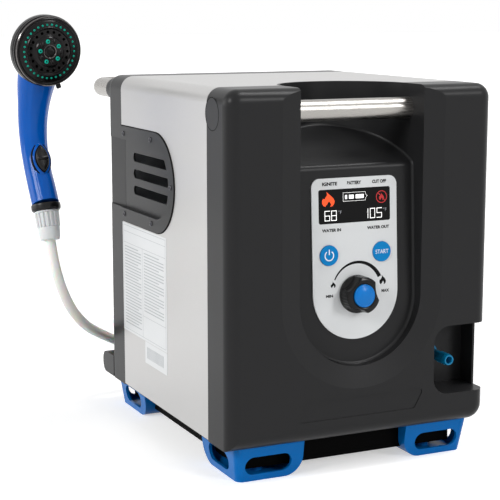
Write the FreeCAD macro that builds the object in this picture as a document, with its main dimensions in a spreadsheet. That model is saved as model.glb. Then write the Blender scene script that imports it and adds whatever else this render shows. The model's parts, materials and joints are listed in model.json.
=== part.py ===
"""Portable propane water heater with its hand shower and hose, as a parametric assembly.

Millimetres, +Z up. The origin is on the ground, in the middle of the four screw holes of the feet.
The control panel and the front grip face -Y, and the hand shower is on the -X side.
"""
import FreeCAD, Part
import math
import os
import Sketcher

# ---------------------------------------------------------------- driving sizes
SIZES = {
    # case: front shell, wrapper sheet and rear shell in one line
    "case_width": 300, "case_top": 394, "shell_low": 37, "sheet_low": 38.5,
    "front_face": 170, "front_seam": 120, "rear_seam": 124, "rear_face": 168,
    "wall": 2.5, "sheet_thick": 1.0, "case_round": 15, "face_round": 13, "ledge_round": 17,
    "seam_gap": 0.3, "lip_length": 7, "lip_thick": 1.2,
    # front recess: dished U around a sloping floor, with the grip pocket above it
    "dish_half": 92, "dish_deep": 5, "recess_half": 70, "recess_centre": 180,
    "pocket_centre": 134, "ridge_height": 314, "pocket_rise": 37, "ridge_round": 7,
    "panel_below": 182, "panel_face": 152, "lean_rise": 170, "lean_back": 9, "recess_round": 3,
    # front grip
    "grip_y": 133, "grip_below": 25, "grip_half": 11, "grip_bore": 9, "cap_half": 16, "fit_gap": 0.05,
    # nameplate recess
    "plate_top": 80, "plate_low": 59, "plate_left": 70, "plate_right": 68, "plate_slant": 6,
    "plate_deep": 0.8, "plate_round": 4,
    # drain notch and drain nozzle
    "notch_left": 85, "notch_low": 70, "notch_top": 143, "notch_back": 125, "notch_side": 147,
    "notch_round": 18,
    "nozzle_x": 107, "nozzle_z": 104.5, "nozzle_half": 6, "nozzle_bore": 4, "nozzle_reach": 40,
    "nozzle_inner": 12, "nozzle_flange": 2,
    # vent panels
    "vent_half": 54, "vent_y": 18.5, "vent_z": 285, "vent_proud": 1.5, "vent_well": 39,
    "vent_deep": 6, "vent_skin": 2, "louvre_front": 7, "louvre_rear": 98, "louvre_high": 10,
    "louvre_pitch": 18.5, "louvre_mid": 287, "vent_screw_half": 3, "vent_screw_in": 1.2,
    "screw_rear": 113.5, "screw_mid": 30, "screw_front": 26.5, "screw_rise": 45.5,
    # rear shell
    "lobe_high": 25, "lobe_out": 34, "lobe_round": 11, "rear_round": 9,
    "scoop_low": 246, "scoop_top": 324, "scoop_deep": 2,
    "rear_grip_half": 11, "rear_grip_below": 17, "rear_grip_out": 249, "rear_grip_end": 136,
    "rear_grip_bend": 16, "lug_half": 13, "lug_out": 9, "lug_in": 14,
    # base pan and feet
    "pan_half": 122, "pan_front": 142, "pan_rear": 168, "pan_low": 10, "pan_wall": 2,
    "flange_thick": 2, "foot_mid": 15, "foot_outer_low": 132, "foot_outer_top": 137,
    "foot_inner": 60, "foot_front_low": 152, "foot_front_top": 158, "foot_back": 69,
    "foot_wall": 3, "foot_round": 20, "foot_corner": 8, "slot_x": 99, "slot_z": 16.5,
    "slot_long": 52, "slot_high": 19, "side_slot_y": 110, "side_slot_long": 50,
    "foot_boss_half": 7, "foot_boss_bore": 2.5, "foot_boss_x": 100, "foot_boss_y": 125,
    # control panel
    "panel_half": 49, "panel_up": 90, "panel_down": 75.5, "panel_thick": 1.5, "panel_round": 9,
    "window_half": 41.2, "window_low": 44.2, "window_high": 34.6, "window_sunk": 0.2,
    "module_margin": 3, "module_thick": 7, "board_half": 45, "board_low": 9,
    "board_top": 84, "board_thick": 1.6,
    "button_x": 30.5, "button_up": 12.3, "button_half": 10.3, "button_proud": 1.2,
    "button_thick": 1.5, "button_travel": 1.0, "button_gap": 0.25, "button_stem": 2.5,
    "knob_up": -29, "knob_half": 19.4, "knob_high": 17.2, "knob_gap": 0.6, "knob_skirt": 4,
    "knob_hollow": 4.6, "hollow_round": 30, "knob_hollows": 3,
    "cap_radius": 11.7, "cap_high": 3, "cap_sunk": 2,
    "shaft_half": 3, "shaft_in_knob": 12, "shaft_in_valve": 8,
    # gas line
    "valve_half": 22, "valve_high": 46, "valve_deep": 30, "burner_low": 100, "burner_high": 28,
    "burner_front": 12, "burner_rear": 94, "burner_bar_half": 5,
    "tube_half": 4, "tube_bore": 3, "manifold_half": 6, "manifold_z": 110, "jet_half": 3,
    "jet_pitch": 30, "gas_x": 60, "gas_run_z": 60, "gas_turn": 28, "pipe_bend": 10,
    # heat exchanger and flue
    "upright": 95, "frame_thick": 2, "frame_front": 105, "frame_rear": 118, "frame_half": 125,
    "upright_top": 240, "upright_front": 2, "upright_rear": 104,
    "chamber_high": 36, "duct_front": 8, "duct_rear": 98, "duct_wall": 1.5, "duct_gap": 0.3,
    "fin_high": 40, "fin_thick": 1, "fin_pitch": 9, "fin_count": 20,
    "coil_half": 6.5, "coil_bore": 5.5, "coil_front": 16, "coil_pitch": 18, "coil_reach": 107,
    "coil_end": 118, "hood_top": 334, "hood_gap": 8, "hood_front": 8, "hood_rear": 6,
    # water and power side
    "battery_x": -87, "battery_y": -67, "battery_wide": 66, "battery_high": 70,
    "strap_wide": 18, "strap_thick": 1.5, "pump_x": 18, "pump_y": -72, "pump_half": 24,
    "pump_long": 46, "pump_head": 20, "sensor_half": 12, "sensor_long": 34,
    "water_half": 6, "water_bore": 5, "water_x": 112, "water_z": 105, "riser_gap": 18,
    "riser_up": 36, "low_run": 14, "cold_turn": 38, "hot_turn": 22,
    "fitting_half": 10, "fitting_bore": 6, "fitting_out": 20, "fitting_in": 16,
    "fitting_flange": 15, "fitting_flange_thick": 3, "igniter_x": 40, "igniter_half": 3, "igniter_up": 10,
    "spark_x": -33, "spark_y": -15, "spark_wide": 30,
    "spark_high": 34, "port_x": 0, "port_z": 150, "port_half": 14,
    "port_high": 9, "port_deep": 12,
    "cover_thick": 3, "cover_lip": 3, "hinge_half": 1.5,
    # case screws
    "screw_half": 3.5, "screw_head": 2, "screw_shank": 1.6, "screw_long": 10,
    "corner_screw_x": 134, "corner_screw_low": 80, "corner_screw_top": 346,
    # label
    "label_front": 10, "label_rear": 124, "label_low": 104, "label_top": 229, "label_thick": 0.2,
    # hand shower, in its own frame: origin at the middle of the spray face, -Y out of the face
    "shower_x": -228, "shower_y": 135, "shower_z": 422, "shower_turn": 5, "face_tilt": 5,
    "head_half": 39.5, "head_rim": 6, "head_deep": 21, "head_back": 42, "face_half": 33.5,
    "face_dome": 4, "face_gap": 0.3, "face_sunk": 13.7, "tab_wide": 5, "tab_reach": 43.5, "tab_turn": -72,
    "spigot_half": 9, "handle_bore": 8, "handle_lean": 17, "handle_end_back": 24.5,
    "handle_end_drop": 172, "collar_half": 16.5, "collar_high": 8,
    "nut_top_half": 14.5, "nut_low_half": 10.8, "nut_high": 34, "collar_gap": 0.5,
    "switch_wide": 13, "switch_long": 24, "switch_high": 4.5, "switch_travel": 4,
    "switch_back": 47.5, "switch_drop": 128, "switch_lean": 22.5, "switch_boss": 17.5,
    # hose
    "hose_half": 6, "hose_sunk": 10, "turn_half": 66, "turns_x": -16, "turns_y": 300,
    "turns_high": 25, "turns_wide": 25, "turns_round": 8, "outlet_nut_half": 14, "outlet_nut_long": 26,
}

# route of the hose where it isn't coiled: from the outlet to the coil, and from the coil to the hand shower
OUTLET_ROUTE = [(-112, 188.5, 105), (-112, 222, 105), (-110, 254, 93), (-102, 283, 74), (-90, 311, 53),
                (-75, 336, 37), (-52, 355, 27.5)]
SHOWER_ROUTE = [(-16, 234, 19), (-42, 233.5, 24), (-68, 231, 35), (-92, 226, 48), (-114, 219.5, 60.5),
                (-134.4, 210.5, 71.3), (-157.3, 192, 84.4), (-180.3, 173, 99.5), (-201, 157, 121.5),
                (-214.8, 144.8, 144.5), (-224.2, 139.6, 169), (-228.7, 142.95, 196)]

doc = FreeCAD.newDocument("water_heater")


# ---------------------------------------------------------------- sizes that carry their formula
class Size:
    """A length with the sheet formula that gives it, so that sums stay bound to the sheet."""

    def __init__(self, value, formula):
        self.value, self.formula = float(value), formula

    def __add__(self, other):
        return joined(self, "+", other)

    def __radd__(self, other):
        return joined(other, "+", self)

    def __sub__(self, other):
        return joined(self, "-", other)

    def __rsub__(self, other):
        return joined(other, "-", self)

    def __mul__(self, other):
        return joined(self, "*", other)

    def __rmul__(self, other):
        return joined(other, "*", self)

    def __truediv__(self, other):
        return joined(self, "/", other)

    def __neg__(self):
        return joined(0, "-", self)


def sized(number):
    return number if isinstance(number, Size) else Size(number, repr(number))


def joined(first, sign, second):
    first, second = sized(first), sized(second)
    results = {"+": first.value + second.value, "-": first.value - second.value,
               "*": first.value * second.value}
    value = first.value / second.value if sign == "/" else results[sign]
    return Size(value, f"({first.formula} {sign} {second.formula})")


def make_sheet():
    """Spreadsheet with one named cell for each driving size; returns the sizes by name."""
    sheet = doc.addObject("Spreadsheet::Sheet", "Sizes")
    for row, (name, value) in enumerate(SIZES.items(), 1):
        sheet.set(f"A{row}", name)
        sheet.set(f"B{row}", str(value))
        sheet.setAlias(f"B{row}", name)
    doc.recompute()
    return {name: Size(value, f"Sizes.{name}") for name, value in SIZES.items()}


class Named:
    """The sheet's sizes as attributes."""

    def __init__(self, sizes):
        self.__dict__.update(sizes)


s = Named(make_sheet())
half_width = s.case_width / 2
riser_x = half_width - s.riser_gap
panel_height = s.case_top - s.panel_below
grip_up = s.case_top - s.grip_below
rear_grip_up = s.case_top - s.rear_grip_below
lean = math.degrees(math.atan2(s.lean_back.value, s.lean_rise.value))
lean_slope = s.lean_back / s.lean_rise


# ---------------------------------------------------------------- modelling helpers
TURNS = {  # turns local +Z to the named direction
    "+z": FreeCAD.Rotation(), "-z": FreeCAD.Rotation(FreeCAD.Vector(1, 0, 0), 180),
    "-y": FreeCAD.Rotation(FreeCAD.Vector(1, 0, 0), 90),
    "+y": FreeCAD.Rotation(FreeCAD.Vector(1, 0, 0), -90),
    "+x": FreeCAD.Rotation(FreeCAD.Vector(0, 1, 0), 90),
    "-x": FreeCAD.Rotation(FreeCAD.Vector(0, 1, 0), -90),
}


def bind(thing, **values):
    for name, size in values.items():
        thing.setExpression(name, sized(size).formula)
    return thing


def place(thing, x=0, y=0, z=0, facing="+z"):
    base = FreeCAD.Vector(*(sized(size).value for size in (x, y, z)))
    thing.Placement = FreeCAD.Placement(base, TURNS[facing])
    for axis, size in zip("xyz", (x, y, z)):
        if isinstance(size, Size):
            thing.setExpression(f"Placement.Base.{axis}", size.formula)
    return thing


def new(kind, label, **values):
    thing = doc.addObject(kind, label)
    thing.Label = label
    return bind(thing, **values)


def body(label):
    return new("PartDesign::Body", label)


def new_sketch(owner, plane, offset=0):
    sketch = owner.newObject("Sketcher::SketchObject", f"{owner.Name}_sketch")
    origin_plane = next(item for item in owner.Origin.OriginFeatures if item.Role == f"{plane}_Plane")
    sketch.AttachmentSupport = (origin_plane, "")
    sketch.MapMode = "FlatFace"
    sketch.setExpression("AttachmentOffset.Base.z", sized(offset).formula)
    return sketch


def constrain(sketch, kind, *where, size=None):
    if size is None:
        return sketch.addConstraint(Sketcher.Constraint(kind, *where))
    index = sketch.addConstraint(Sketcher.Constraint(kind, *where, sized(size).value))
    sketch.setExpression(f"Constraints[{index}]", sized(size).formula)
    return index


def locate(sketch, point, x, y):
    constrain(sketch, "DistanceX", -1, 1, *point, size=x)
    constrain(sketch, "DistanceY", -1, 1, *point, size=y)


def add_arc(sketch, start, middle, end):
    """Adds the arc anticlockwise; returns its index and which of its ends is start."""
    anticlockwise = (middle - start).cross(end - middle).z > 0
    points = (start, middle, end) if anticlockwise else (end, middle, start)
    return sketch.addGeometry(Part.Arc(*points)), 1 if anticlockwise else 2


def outline(owner, plane, corners, offset=0):
    """Closed sketch through (x, y) or (x, y, round) corners, each bound to the sheet."""
    sketch = new_sketch(owner, plane, offset)
    count = len(corners)
    points = [FreeCAD.Vector(sized(corner[0]).value, sized(corner[1]).value, 0) for corner in corners]
    rounds = [sized(corner[2]).value if len(corner) > 2 else 0 for corner in corners]

    def towards(start, end):
        return (points[end % count] - points[start]).normalize()

    def setback(index):
        half = towards(index, index - 1).getAngle(towards(index, index + 1)) / 2
        return rounds[index] / math.tan(half) if rounds[index] else 0

    def trimmed(index, neighbour):
        return points[index] + towards(index, neighbour) * setback(index)

    for index in range(count):
        following = (index + 1) % count
        sketch.addGeometry(Part.LineSegment(trimmed(index, following), trimmed(following, index)))
    for index, corner in enumerate(corners):
        before = (index - 1) % count
        if rounds[index]:
            start, end = trimmed(index, index - 1), trimmed(index, index + 1)
            inward = (towards(index, index - 1) + towards(index, index + 1)).normalize()
            centre = points[index] + inward * math.hypot(setback(index), rounds[index])
            arc, first = add_arc(sketch, start, centre - inward * rounds[index], end)
            constrain(sketch, "Tangent", before, 2, arc, first)
            constrain(sketch, "Tangent", index, 1, arc, 3 - first)
            constrain(sketch, "Radius", arc, size=corner[2])
            mark = sketch.addGeometry(Part.Point(points[index]), True)
            constrain(sketch, "PointOnObject", mark, 1, before)
            constrain(sketch, "PointOnObject", mark, 1, index)
            locate(sketch, (mark, 1), *corner[:2])
        else:
            constrain(sketch, "Coincident", before, 2, index, 1)
            locate(sketch, (index, 1), *corner[:2])
    return sketch


def rectangle(owner, plane, x_low, x_high, y_low, y_high, offset=0):
    return outline(owner, plane, [(x_low, y_low), (x_high, y_low), (x_high, y_high), (x_low, y_high)],
                   offset)


def circles(owner, plane, rounds, offset=0):
    """Sketch of (x, y, radius) circles."""
    sketch = new_sketch(owner, plane, offset)
    for x, y, radius in rounds:
        centre = FreeCAD.Vector(sized(x).value, sized(y).value, 0)
        circle = Part.Circle(centre, FreeCAD.Vector(0, 0, 1), sized(radius).value)
        index = sketch.addGeometry(circle)
        constrain(sketch, "Radius", index, size=radius)
        locate(sketch, (index, 3), x, y)
    return sketch


def channel(owner, plane, half, centre, end, across=0, along="y", offset=0):
    """U outline: a half circle round (across, centre), and straight sides on to end."""
    sketch = new_sketch(owner, plane, offset)
    radius, middle, side, far = (sized(size).value for size in (half, centre, across, end))
    sign = 1 if far > middle else -1

    def point(away, on):
        return FreeCAD.Vector(side + away, on, 0) if along == "y" else FreeCAD.Vector(on, side + away, 0)

    arc, left_end = add_arc(sketch, point(-radius, middle), point(0, middle - sign * radius),
                            point(radius, middle))
    left = sketch.addGeometry(Part.LineSegment(point(-radius, middle), point(-radius, far)))
    top = sketch.addGeometry(Part.LineSegment(point(-radius, far), point(radius, far)))
    right = sketch.addGeometry(Part.LineSegment(point(radius, far), point(radius, middle)))
    upright = along == "y"
    for line in (left, right):
        constrain(sketch, "Vertical" if upright else "Horizontal", line)
    constrain(sketch, "Horizontal" if upright else "Vertical", top)
    for one, other in (((arc, left_end), (left, 1)), ((left, 2), (top, 1)), ((top, 2), (right, 1)),
                       ((right, 2), (arc, 3 - left_end))):
        constrain(sketch, "Coincident", *one, *other)
    constrain(sketch, "Radius", arc, size=half)
    locate(sketch, (arc, 3), *((across, centre) if upright else (centre, across)))
    distance = "DistanceY" if upright else "DistanceX"
    for spot, size in (((arc, 1), centre), ((arc, 2), centre), ((left, 2), end)):
        constrain(sketch, distance, -1, 1, *spot, size=size)
    return sketch


def obround(owner, plane, x, y, length, height, offset=0):
    """Slot outline with round ends, long in the sketch's own X direction."""
    sketch = new_sketch(owner, plane, offset)
    middle = FreeCAD.Vector(sized(x).value, sized(y).value, 0)
    radius = sized(height).value / 2
    reach = sized(length).value / 2 - radius
    rise, run = FreeCAD.Vector(0, radius, 0), FreeCAD.Vector(reach, 0, 0)
    left, left_low = add_arc(sketch, middle - run - rise, middle - run * (1 + radius / reach),
                             middle - run + rise)
    right, right_low = add_arc(sketch, middle + run - rise, middle + run * (1 + radius / reach),
                               middle + run + rise)
    bottom = sketch.addGeometry(Part.LineSegment(middle - run - rise, middle + run - rise))
    top = sketch.addGeometry(Part.LineSegment(middle + run + rise, middle - run + rise))
    for one, other in (((left, left_low), (bottom, 1)), ((bottom, 2), (right, right_low)),
                       ((right, 3 - right_low), (top, 1)), ((top, 2), (left, 3 - left_low))):
        constrain(sketch, "Coincident", *one, *other)
    for arc, centre in ((left, x - (length - height) / 2), (right, x + (length - height) / 2)):
        constrain(sketch, "Radius", arc, size=height / 2)
        locate(sketch, (arc, 3), centre, y)
        for end in (1, 2):
            constrain(sketch, "DistanceX", -1, 1, arc, end, size=centre)
    return sketch


def feature(kind, owner, sketch, length, reverse, both):
    made = owner.newObject(kind, f"{owner.Name}_{kind[12:].lower()}")
    made.Profile = sketch
    made.Reversed = reverse
    if length is None:
        made.Type = 1
    else:
        bind(made, Length=length)
    made.Midplane = both
    sketch.Visibility = False
    doc.recompute()
    return made


def pad(owner, sketch, length, reverse=False, both=False):
    return feature("PartDesign::Pad", owner, sketch, length, reverse, both)


def pocket(owner, sketch, length=None, reverse=False, both=False):
    return feature("PartDesign::Pocket", owner, sketch, length, reverse, both)


def extruded(label, sketch_of, length, reverse=False, both=False):
    """One body, padded from the sketch that sketch_of draws on it."""
    owner = body(label)
    pad(owner, sketch_of(owner), length, reverse, both)
    return owner


def turned(label, profile, x=0, y=0, z=0, facing="+z"):
    """Body of revolution: (radius, along) corners turned about the local Z axis, then faced."""
    owner = body(label)
    sketch = outline(owner, "XZ", profile)
    made = owner.newObject("PartDesign::Revolution", f"{label}_revolution")
    made.Profile = sketch
    made.ReferenceAxis = (sketch, ["V_Axis"])
    made.Angle = 360
    doc.recompute()
    return place(owner, x, y, z, facing)


def box(label, x_low, x_high, y_low, y_high, z_low, z_high):
    made = new("Part::Box", label, Length=x_high - x_low, Width=y_high - y_low, Height=z_high - z_low)
    return place(made, x_low, y_low, z_low)


def cylinder(label, radius, length, x=0, y=0, z=0, facing="+z"):
    return place(new("Part::Cylinder", label, Radius=radius, Height=length), x, y, z, facing)


def together(kind, label, shapes):
    made = new(kind, label)
    made.Shapes = list(shapes)
    doc.recompute()
    return made


def fuse(label, *shapes):
    return together("Part::MultiFuse", label, shapes)


def common(label, *shapes):
    return together("Part::MultiCommon", label, shapes)


def cut(label, base, *tools):
    made = new("Part::Cut", label)
    made.Base = base
    made.Tool = tools[0] if len(tools) == 1 else fuse(f"{label}_tools", *tools)
    doc.recompute()
    return made


def group(label, members):
    """Separate solids in one node."""
    made = new("Part::Compound", label)
    made.Links = list(members)
    doc.recompute()
    return made


def mirrored(label, source, normal, base_y=0):
    made = new("Part::Mirroring", label)
    made.Source = source
    made.Normal = FreeCAD.Vector(*normal)
    made.setExpression("Base.y", sized(base_y).formula)
    doc.recompute()
    return made


def rounded(label, base, radius, picks):
    """Part fillet on the edges that picks(edge) accepts."""
    doc.recompute()
    edges = [number for number, edge in enumerate(base.Shape.Edges, 1) if picks(edge)]
    made = new("Part::Fillet", label)
    made.Base = base
    made.Edges = [(number, sized(radius).value, sized(radius).value) for number in edges]
    doc.recompute()
    return made


def round_edges(owner, radius, picks):
    """PartDesign fillet on the edges of the body's last feature that picks(edge) accepts."""
    doc.recompute()
    base = owner.Tip
    edges = [f"Edge{number}" for number, edge in enumerate(base.Shape.Edges, 1) if picks(edge)]
    made = owner.newObject("PartDesign::Fillet", f"{owner.Name}_fillet")
    made.Base = (base, edges)
    bind(made, Radius=radius)
    doc.recompute()
    return made


def middle_of(edge):
    return edge.valueAt((edge.FirstParameter + edge.LastParameter) / 2)


def near(value, size, margin=0.01):
    return abs(value - sized(size).value) < margin


def tube_along(label, points, radius, bore, bend):
    """Pipe of straight runs joined by tangent arcs; a free route in space, so it is swept directly."""
    path = rounded_wire([FreeCAD.Vector(*(sized(value).value for value in point)) for point in points],
                        lambda *corner: sized(bend).value)
    return swept(label, path, radius, bore)


def swept(label, path, radius, bore):
    start = path.Edges[0].valueAt(path.Edges[0].FirstParameter)
    heading = path.Edges[0].tangentAt(path.Edges[0].FirstParameter)
    solids = []
    for size in (radius, bore):
        if size is not None:
            profile = Part.Wire(Part.makeCircle(sized(size).value, start, heading))
            solids.append(path.makePipeShell([profile], True, False, 2))
    shape = solids[0].cut(solids[1]) if bore is not None else solids[0]
    made = new("Part::Feature", label)
    made.Shape = shape
    return made


def rounded_wire(points, radius_of):
    """Wire of straight runs with a tangent arc at each inner point."""
    edges, start = [], points[0]
    for before, corner, after in zip(points, points[1:], points[2:]):
        back, ahead = (before - corner).normalize(), (after - corner).normalize()
        half = back.getAngle(ahead) / 2
        radius = radius_of(before, corner, after)
        setback = radius / math.tan(half)
        inward = (back + ahead).normalize()
        middle = corner + inward * (math.hypot(setback, radius) - radius)
        arc_start, arc_end = corner + back * setback, corner + ahead * setback
        edges += [Part.LineSegment(start, arc_start).toShape(),
                  Part.Arc(arc_start, middle, arc_end).toShape()]
        start = arc_end
    edges.append(Part.LineSegment(start, points[-1]).toShape())
    return Part.Wire(edges)


def on_panel(thing):
    """Places a piece drawn in the control panel's frame: X across, Z up the panel, -Y out of it."""
    turn = FreeCAD.Rotation(FreeCAD.Vector(1, 0, 0), -lean)
    thing.Placement = FreeCAD.Placement(FreeCAD.Vector(), turn)
    thing.setExpression("Placement.Base.y", (-s.panel_face).formula)
    thing.setExpression("Placement.Base.z", panel_height.formula)
    thing.setExpression("Placement.Rotation.Angle", f"-atan({lean_slope.formula})")
    return thing


# ---------------------------------------------------------------- front shell
front_clear = s.front_face + 1
open_top = s.case_top + 6
tub_rear = s.pocket_centre - s.recess_half - 14
pocket_slope = s.pocket_rise / s.recess_half / 1.25


def floor_y(height, grow=0):
    """Where the recess floor, which the control panel lies on, is at a height."""
    return s.panel_thick + s.fit_gap - s.panel_face + lean_slope * (height - panel_height) + grow


def recess_cutter(name, grow):
    """Space of the dished front recess and the grip pocket; grow adds the wall around it."""
    dish = body(f"{name}_dish")
    loft = dish.newObject("PartDesign::AdditiveLoft", f"{name}_loft")
    face = s.front_face - grow
    loft.Profile = channel(dish, "XZ", s.dish_half + grow, s.recess_centre, open_top, offset=face)
    loft.Sections = [channel(dish, "XZ", s.recess_half + grow, s.recess_centre, open_top,
                             offset=face - s.dish_deep)]
    loft.Ruled = True
    half = s.recess_half + grow
    across = extruded(f"{name}_across", lambda owner: channel(
        owner, "XZ", half, s.recess_centre, open_top, offset=tub_rear), front_clear - tub_rear)
    low = s.recess_centre - s.dish_half - 10
    plan = extruded(f"{name}_plan", lambda owner: channel(
        owner, "XY", half, -s.pocket_centre, -front_clear, offset=low), open_top - low)
    ridge_y = floor_y(s.ridge_height, grow)
    ridge_z = s.ridge_height - grow * (1.1 - pocket_slope)
    side = extruded(f"{name}_side", lambda owner: outline(owner, "YZ", [
        (-front_clear, low), (floor_y(low, grow), low), (ridge_y, ridge_z, s.ridge_round),
        (-tub_rear, ridge_z + pocket_slope * (-tub_rear - ridge_y)), (-tub_rear, open_top),
        (-front_clear, open_top)]), half * 2 + 4, both=True)
    hollow = common(f"{name}_hollow", across, plan, side)
    if isinstance(grow, Size):
        return [dish, hollow]

    def floor_edge(edge):
        spot = middle_of(edge)
        behind = spot.y > floor_y(sized(spot.z)).value - 0.05 or spot.z > s.ridge_height.value
        return behind and spot.z < open_top.value - 1 and abs(spot.x) > 0.5 and edge.Length > 1 \
            and not (abs(spot.x) > half.value - 0.01 and spot.z > 350)

    return [dish, rounded(f"{name}_rounded", hollow, s.recess_round, floor_edge)]


def notch_cutter(name, far, back, grow=0):
    """Space of the drain notch, across to far and back to y = -back; grow adds the wall around it."""
    return extruded(name, lambda owner: outline(owner, "XZ", [
        (s.notch_left - grow, s.notch_low - grow, s.notch_round), (far, s.notch_low - grow),
        (far, s.notch_top + grow), (s.notch_left - grow, s.notch_top + grow, s.notch_round)],
        offset=back - grow), front_clear - back + grow)


def front_block(name, inset, behind=0):
    """Outer block of the front shell; inset by the wall it is the space inside."""
    across, low, top = half_width - inset, s.shell_low + inset, s.case_top - inset
    block = extruded(name, lambda owner: outline(owner, "XZ", [
        (-across, low), (across, low, s.ledge_round - inset), (across, top, s.case_round - inset),
        (-across, top, s.case_round - inset)], offset=s.front_seam - behind),
        s.front_face - s.front_seam - inset + behind)
    face = -(s.front_face.value - sized(inset).value)
    round_edges(block, s.face_round - inset, lambda edge: near(edge.CenterOfMass.y, face))
    return block


def lip(name, seam, length):
    """Thin inner lip that the wrapper sheet laps over, along the sides and the top."""
    outer, inner = s.wall - s.lip_thick, s.wall
    low = s.sheet_low + 6

    def ring(owner):
        inside = [(-(half_width - inner), low),
                  (-(half_width - inner), s.case_top - inner, s.case_round - inner),
                  (half_width - inner, s.case_top - inner, s.case_round - inner), (half_width - inner, low)]
        outside = [(half_width - outer, low),
                   (half_width - outer, s.case_top - outer, s.case_round - outer),
                   (-(half_width - outer), s.case_top - outer, s.case_round - outer),
                   (-(half_width - outer), low)]
        return outline(owner, "XZ", inside + outside, offset=seam)

    return extruded(name, ring, length)


def panel_hole(name, draw, deep=14):
    """Cutter through the recess floor, drawn in the control panel's frame."""
    return on_panel(extruded(name, draw, sized(deep), both=True))


def front_shell():
    block = front_block("front_block", sized(0))
    skin = cut("front_skin", block, front_block("front_space", s.wall, behind=sized(1)))
    walls = recess_cutter("recess_wall", s.wall)
    rear_limit = box("tub_limit", -s.dish_half, s.dish_half, -s.front_seam, -tub_rear + 1,
                     s.shell_low, s.case_top)
    tubs = [common(f"recess_tub_{number}", block, wall) for number, wall in enumerate(walls)]
    pocket_tub = common("pocket_tub", rear_limit, walls[1])
    clear = half_width + 5
    notch_tub = common("notch_tub", block, notch_cutter("notch_wall", clear, s.notch_back, s.wall))
    notches = [notch_cutter("notch_inside", half_width - s.wall, s.notch_back),
               notch_cutter("notch_mouth", clear, s.notch_side)]
    front_lip = lip("front_lip", s.front_seam - s.lip_length, s.lip_length)
    solid = fuse("front_walls", skin, *tubs, pocket_tub, notch_tub, front_lip)
    nameplate = extruded("nameplate_recess", lambda owner: outline(owner, "XZ", [
        (-s.plate_left - s.plate_slant, s.plate_low, s.plate_round),
        (s.plate_right - s.plate_slant, s.plate_low, s.plate_round),
        (s.plate_right + s.plate_slant, s.plate_top, s.plate_round),
        (-s.plate_left + s.plate_slant, s.plate_top, s.plate_round)],
        offset=s.front_face - s.plate_deep), s.plate_deep + 1)
    wall_reach = s.recess_half + s.wall + 1
    grip_hole = cylinder("grip_hole", s.grip_half + s.fit_gap, wall_reach * 2, -wall_reach, -s.grip_y,
                         grip_up, "+x")
    cap_holes = [cylinder(f"cap_hole_{side}", s.cap_half + s.fit_gap, s.wall + 2, x, -s.grip_y,
                          grip_up, "+x")
                 for side, x in (("left", -half_width - 1), ("right", half_width - s.wall - 1))]
    nozzle_hole = cylinder("nozzle_hole", s.nozzle_half + s.fit_gap, s.wall + 2, s.nozzle_x,
                           -s.notch_back + s.wall + 1, s.nozzle_z, "-y")
    window = panel_hole("module_hole", lambda owner: window_outline(
        owner, s.seam_gap - s.module_margin, 0))
    holes = panel_hole("button_holes", lambda owner: circles(owner, "XZ", [
        (-s.button_x, s.button_up, s.button_stem + s.fit_gap),
        (s.button_x, s.button_up, s.button_stem + s.fit_gap),
        (0, s.knob_up, s.shaft_half + s.fit_gap)]))
    return cut("front_shell", solid, *recess_cutter("recess", 0), *notches, nameplate,
               grip_hole, *cap_holes, nozzle_hole, window, holes)


def handle_cap(label, x, facing):
    """Round cap in the shell's side, with a plug that fits into the grip tube."""
    plug_half = s.grip_bore - s.fit_gap
    depth = s.wall + 14
    return turned(label, [(0, 0), (plug_half, 0), (plug_half, depth - s.wall), (s.cap_half, depth - s.wall),
                          (s.cap_half, depth), (0, depth)],
                  x, -s.grip_y, grip_up, facing)


def tube(label, radius, bore, length, x=0, y=0, z=0, facing="+z"):
    return turned(label, [(bore, 0), (radius, 0), (radius, length), (bore, length)], x, y, z, facing)


def front_grip():
    end = half_width - s.wall - s.seam_gap
    tube("front_handle_tube", s.grip_half, s.grip_bore, end * 2, -end, -s.grip_y, grip_up, "+x")
    start = half_width - s.wall - 14
    group("handle_caps", [handle_cap("handle_cap_left", -start, "-x"),
                          handle_cap("handle_cap_right", start, "+x")])


def drain_nozzle():
    """Hollow nozzle that points forward out of the notch, with a collar behind the notch wall."""
    length = s.nozzle_reach + s.wall + s.nozzle_inner
    collar = s.nozzle_inner - 2
    outside = s.nozzle_inner + s.wall + s.seam_gap / 3
    turned("drain_nozzle", [
        (s.nozzle_bore, 0), (s.nozzle_half, 0), (s.nozzle_half, collar - 3),
        (s.nozzle_half + 3, collar - 3),
        (s.nozzle_half + 3, s.nozzle_inner - s.seam_gap / 3),
        (s.nozzle_half, s.nozzle_inner - s.seam_gap / 3),
        (s.nozzle_half, outside), (s.nozzle_half + 3, outside),
        (s.nozzle_half + 3, outside + s.nozzle_flange),
        (s.nozzle_half, outside + s.nozzle_flange), (s.nozzle_half, length), (s.nozzle_bore, length)],
        s.nozzle_x, -s.notch_back + s.wall + s.nozzle_inner, s.nozzle_z, "-y")


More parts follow.
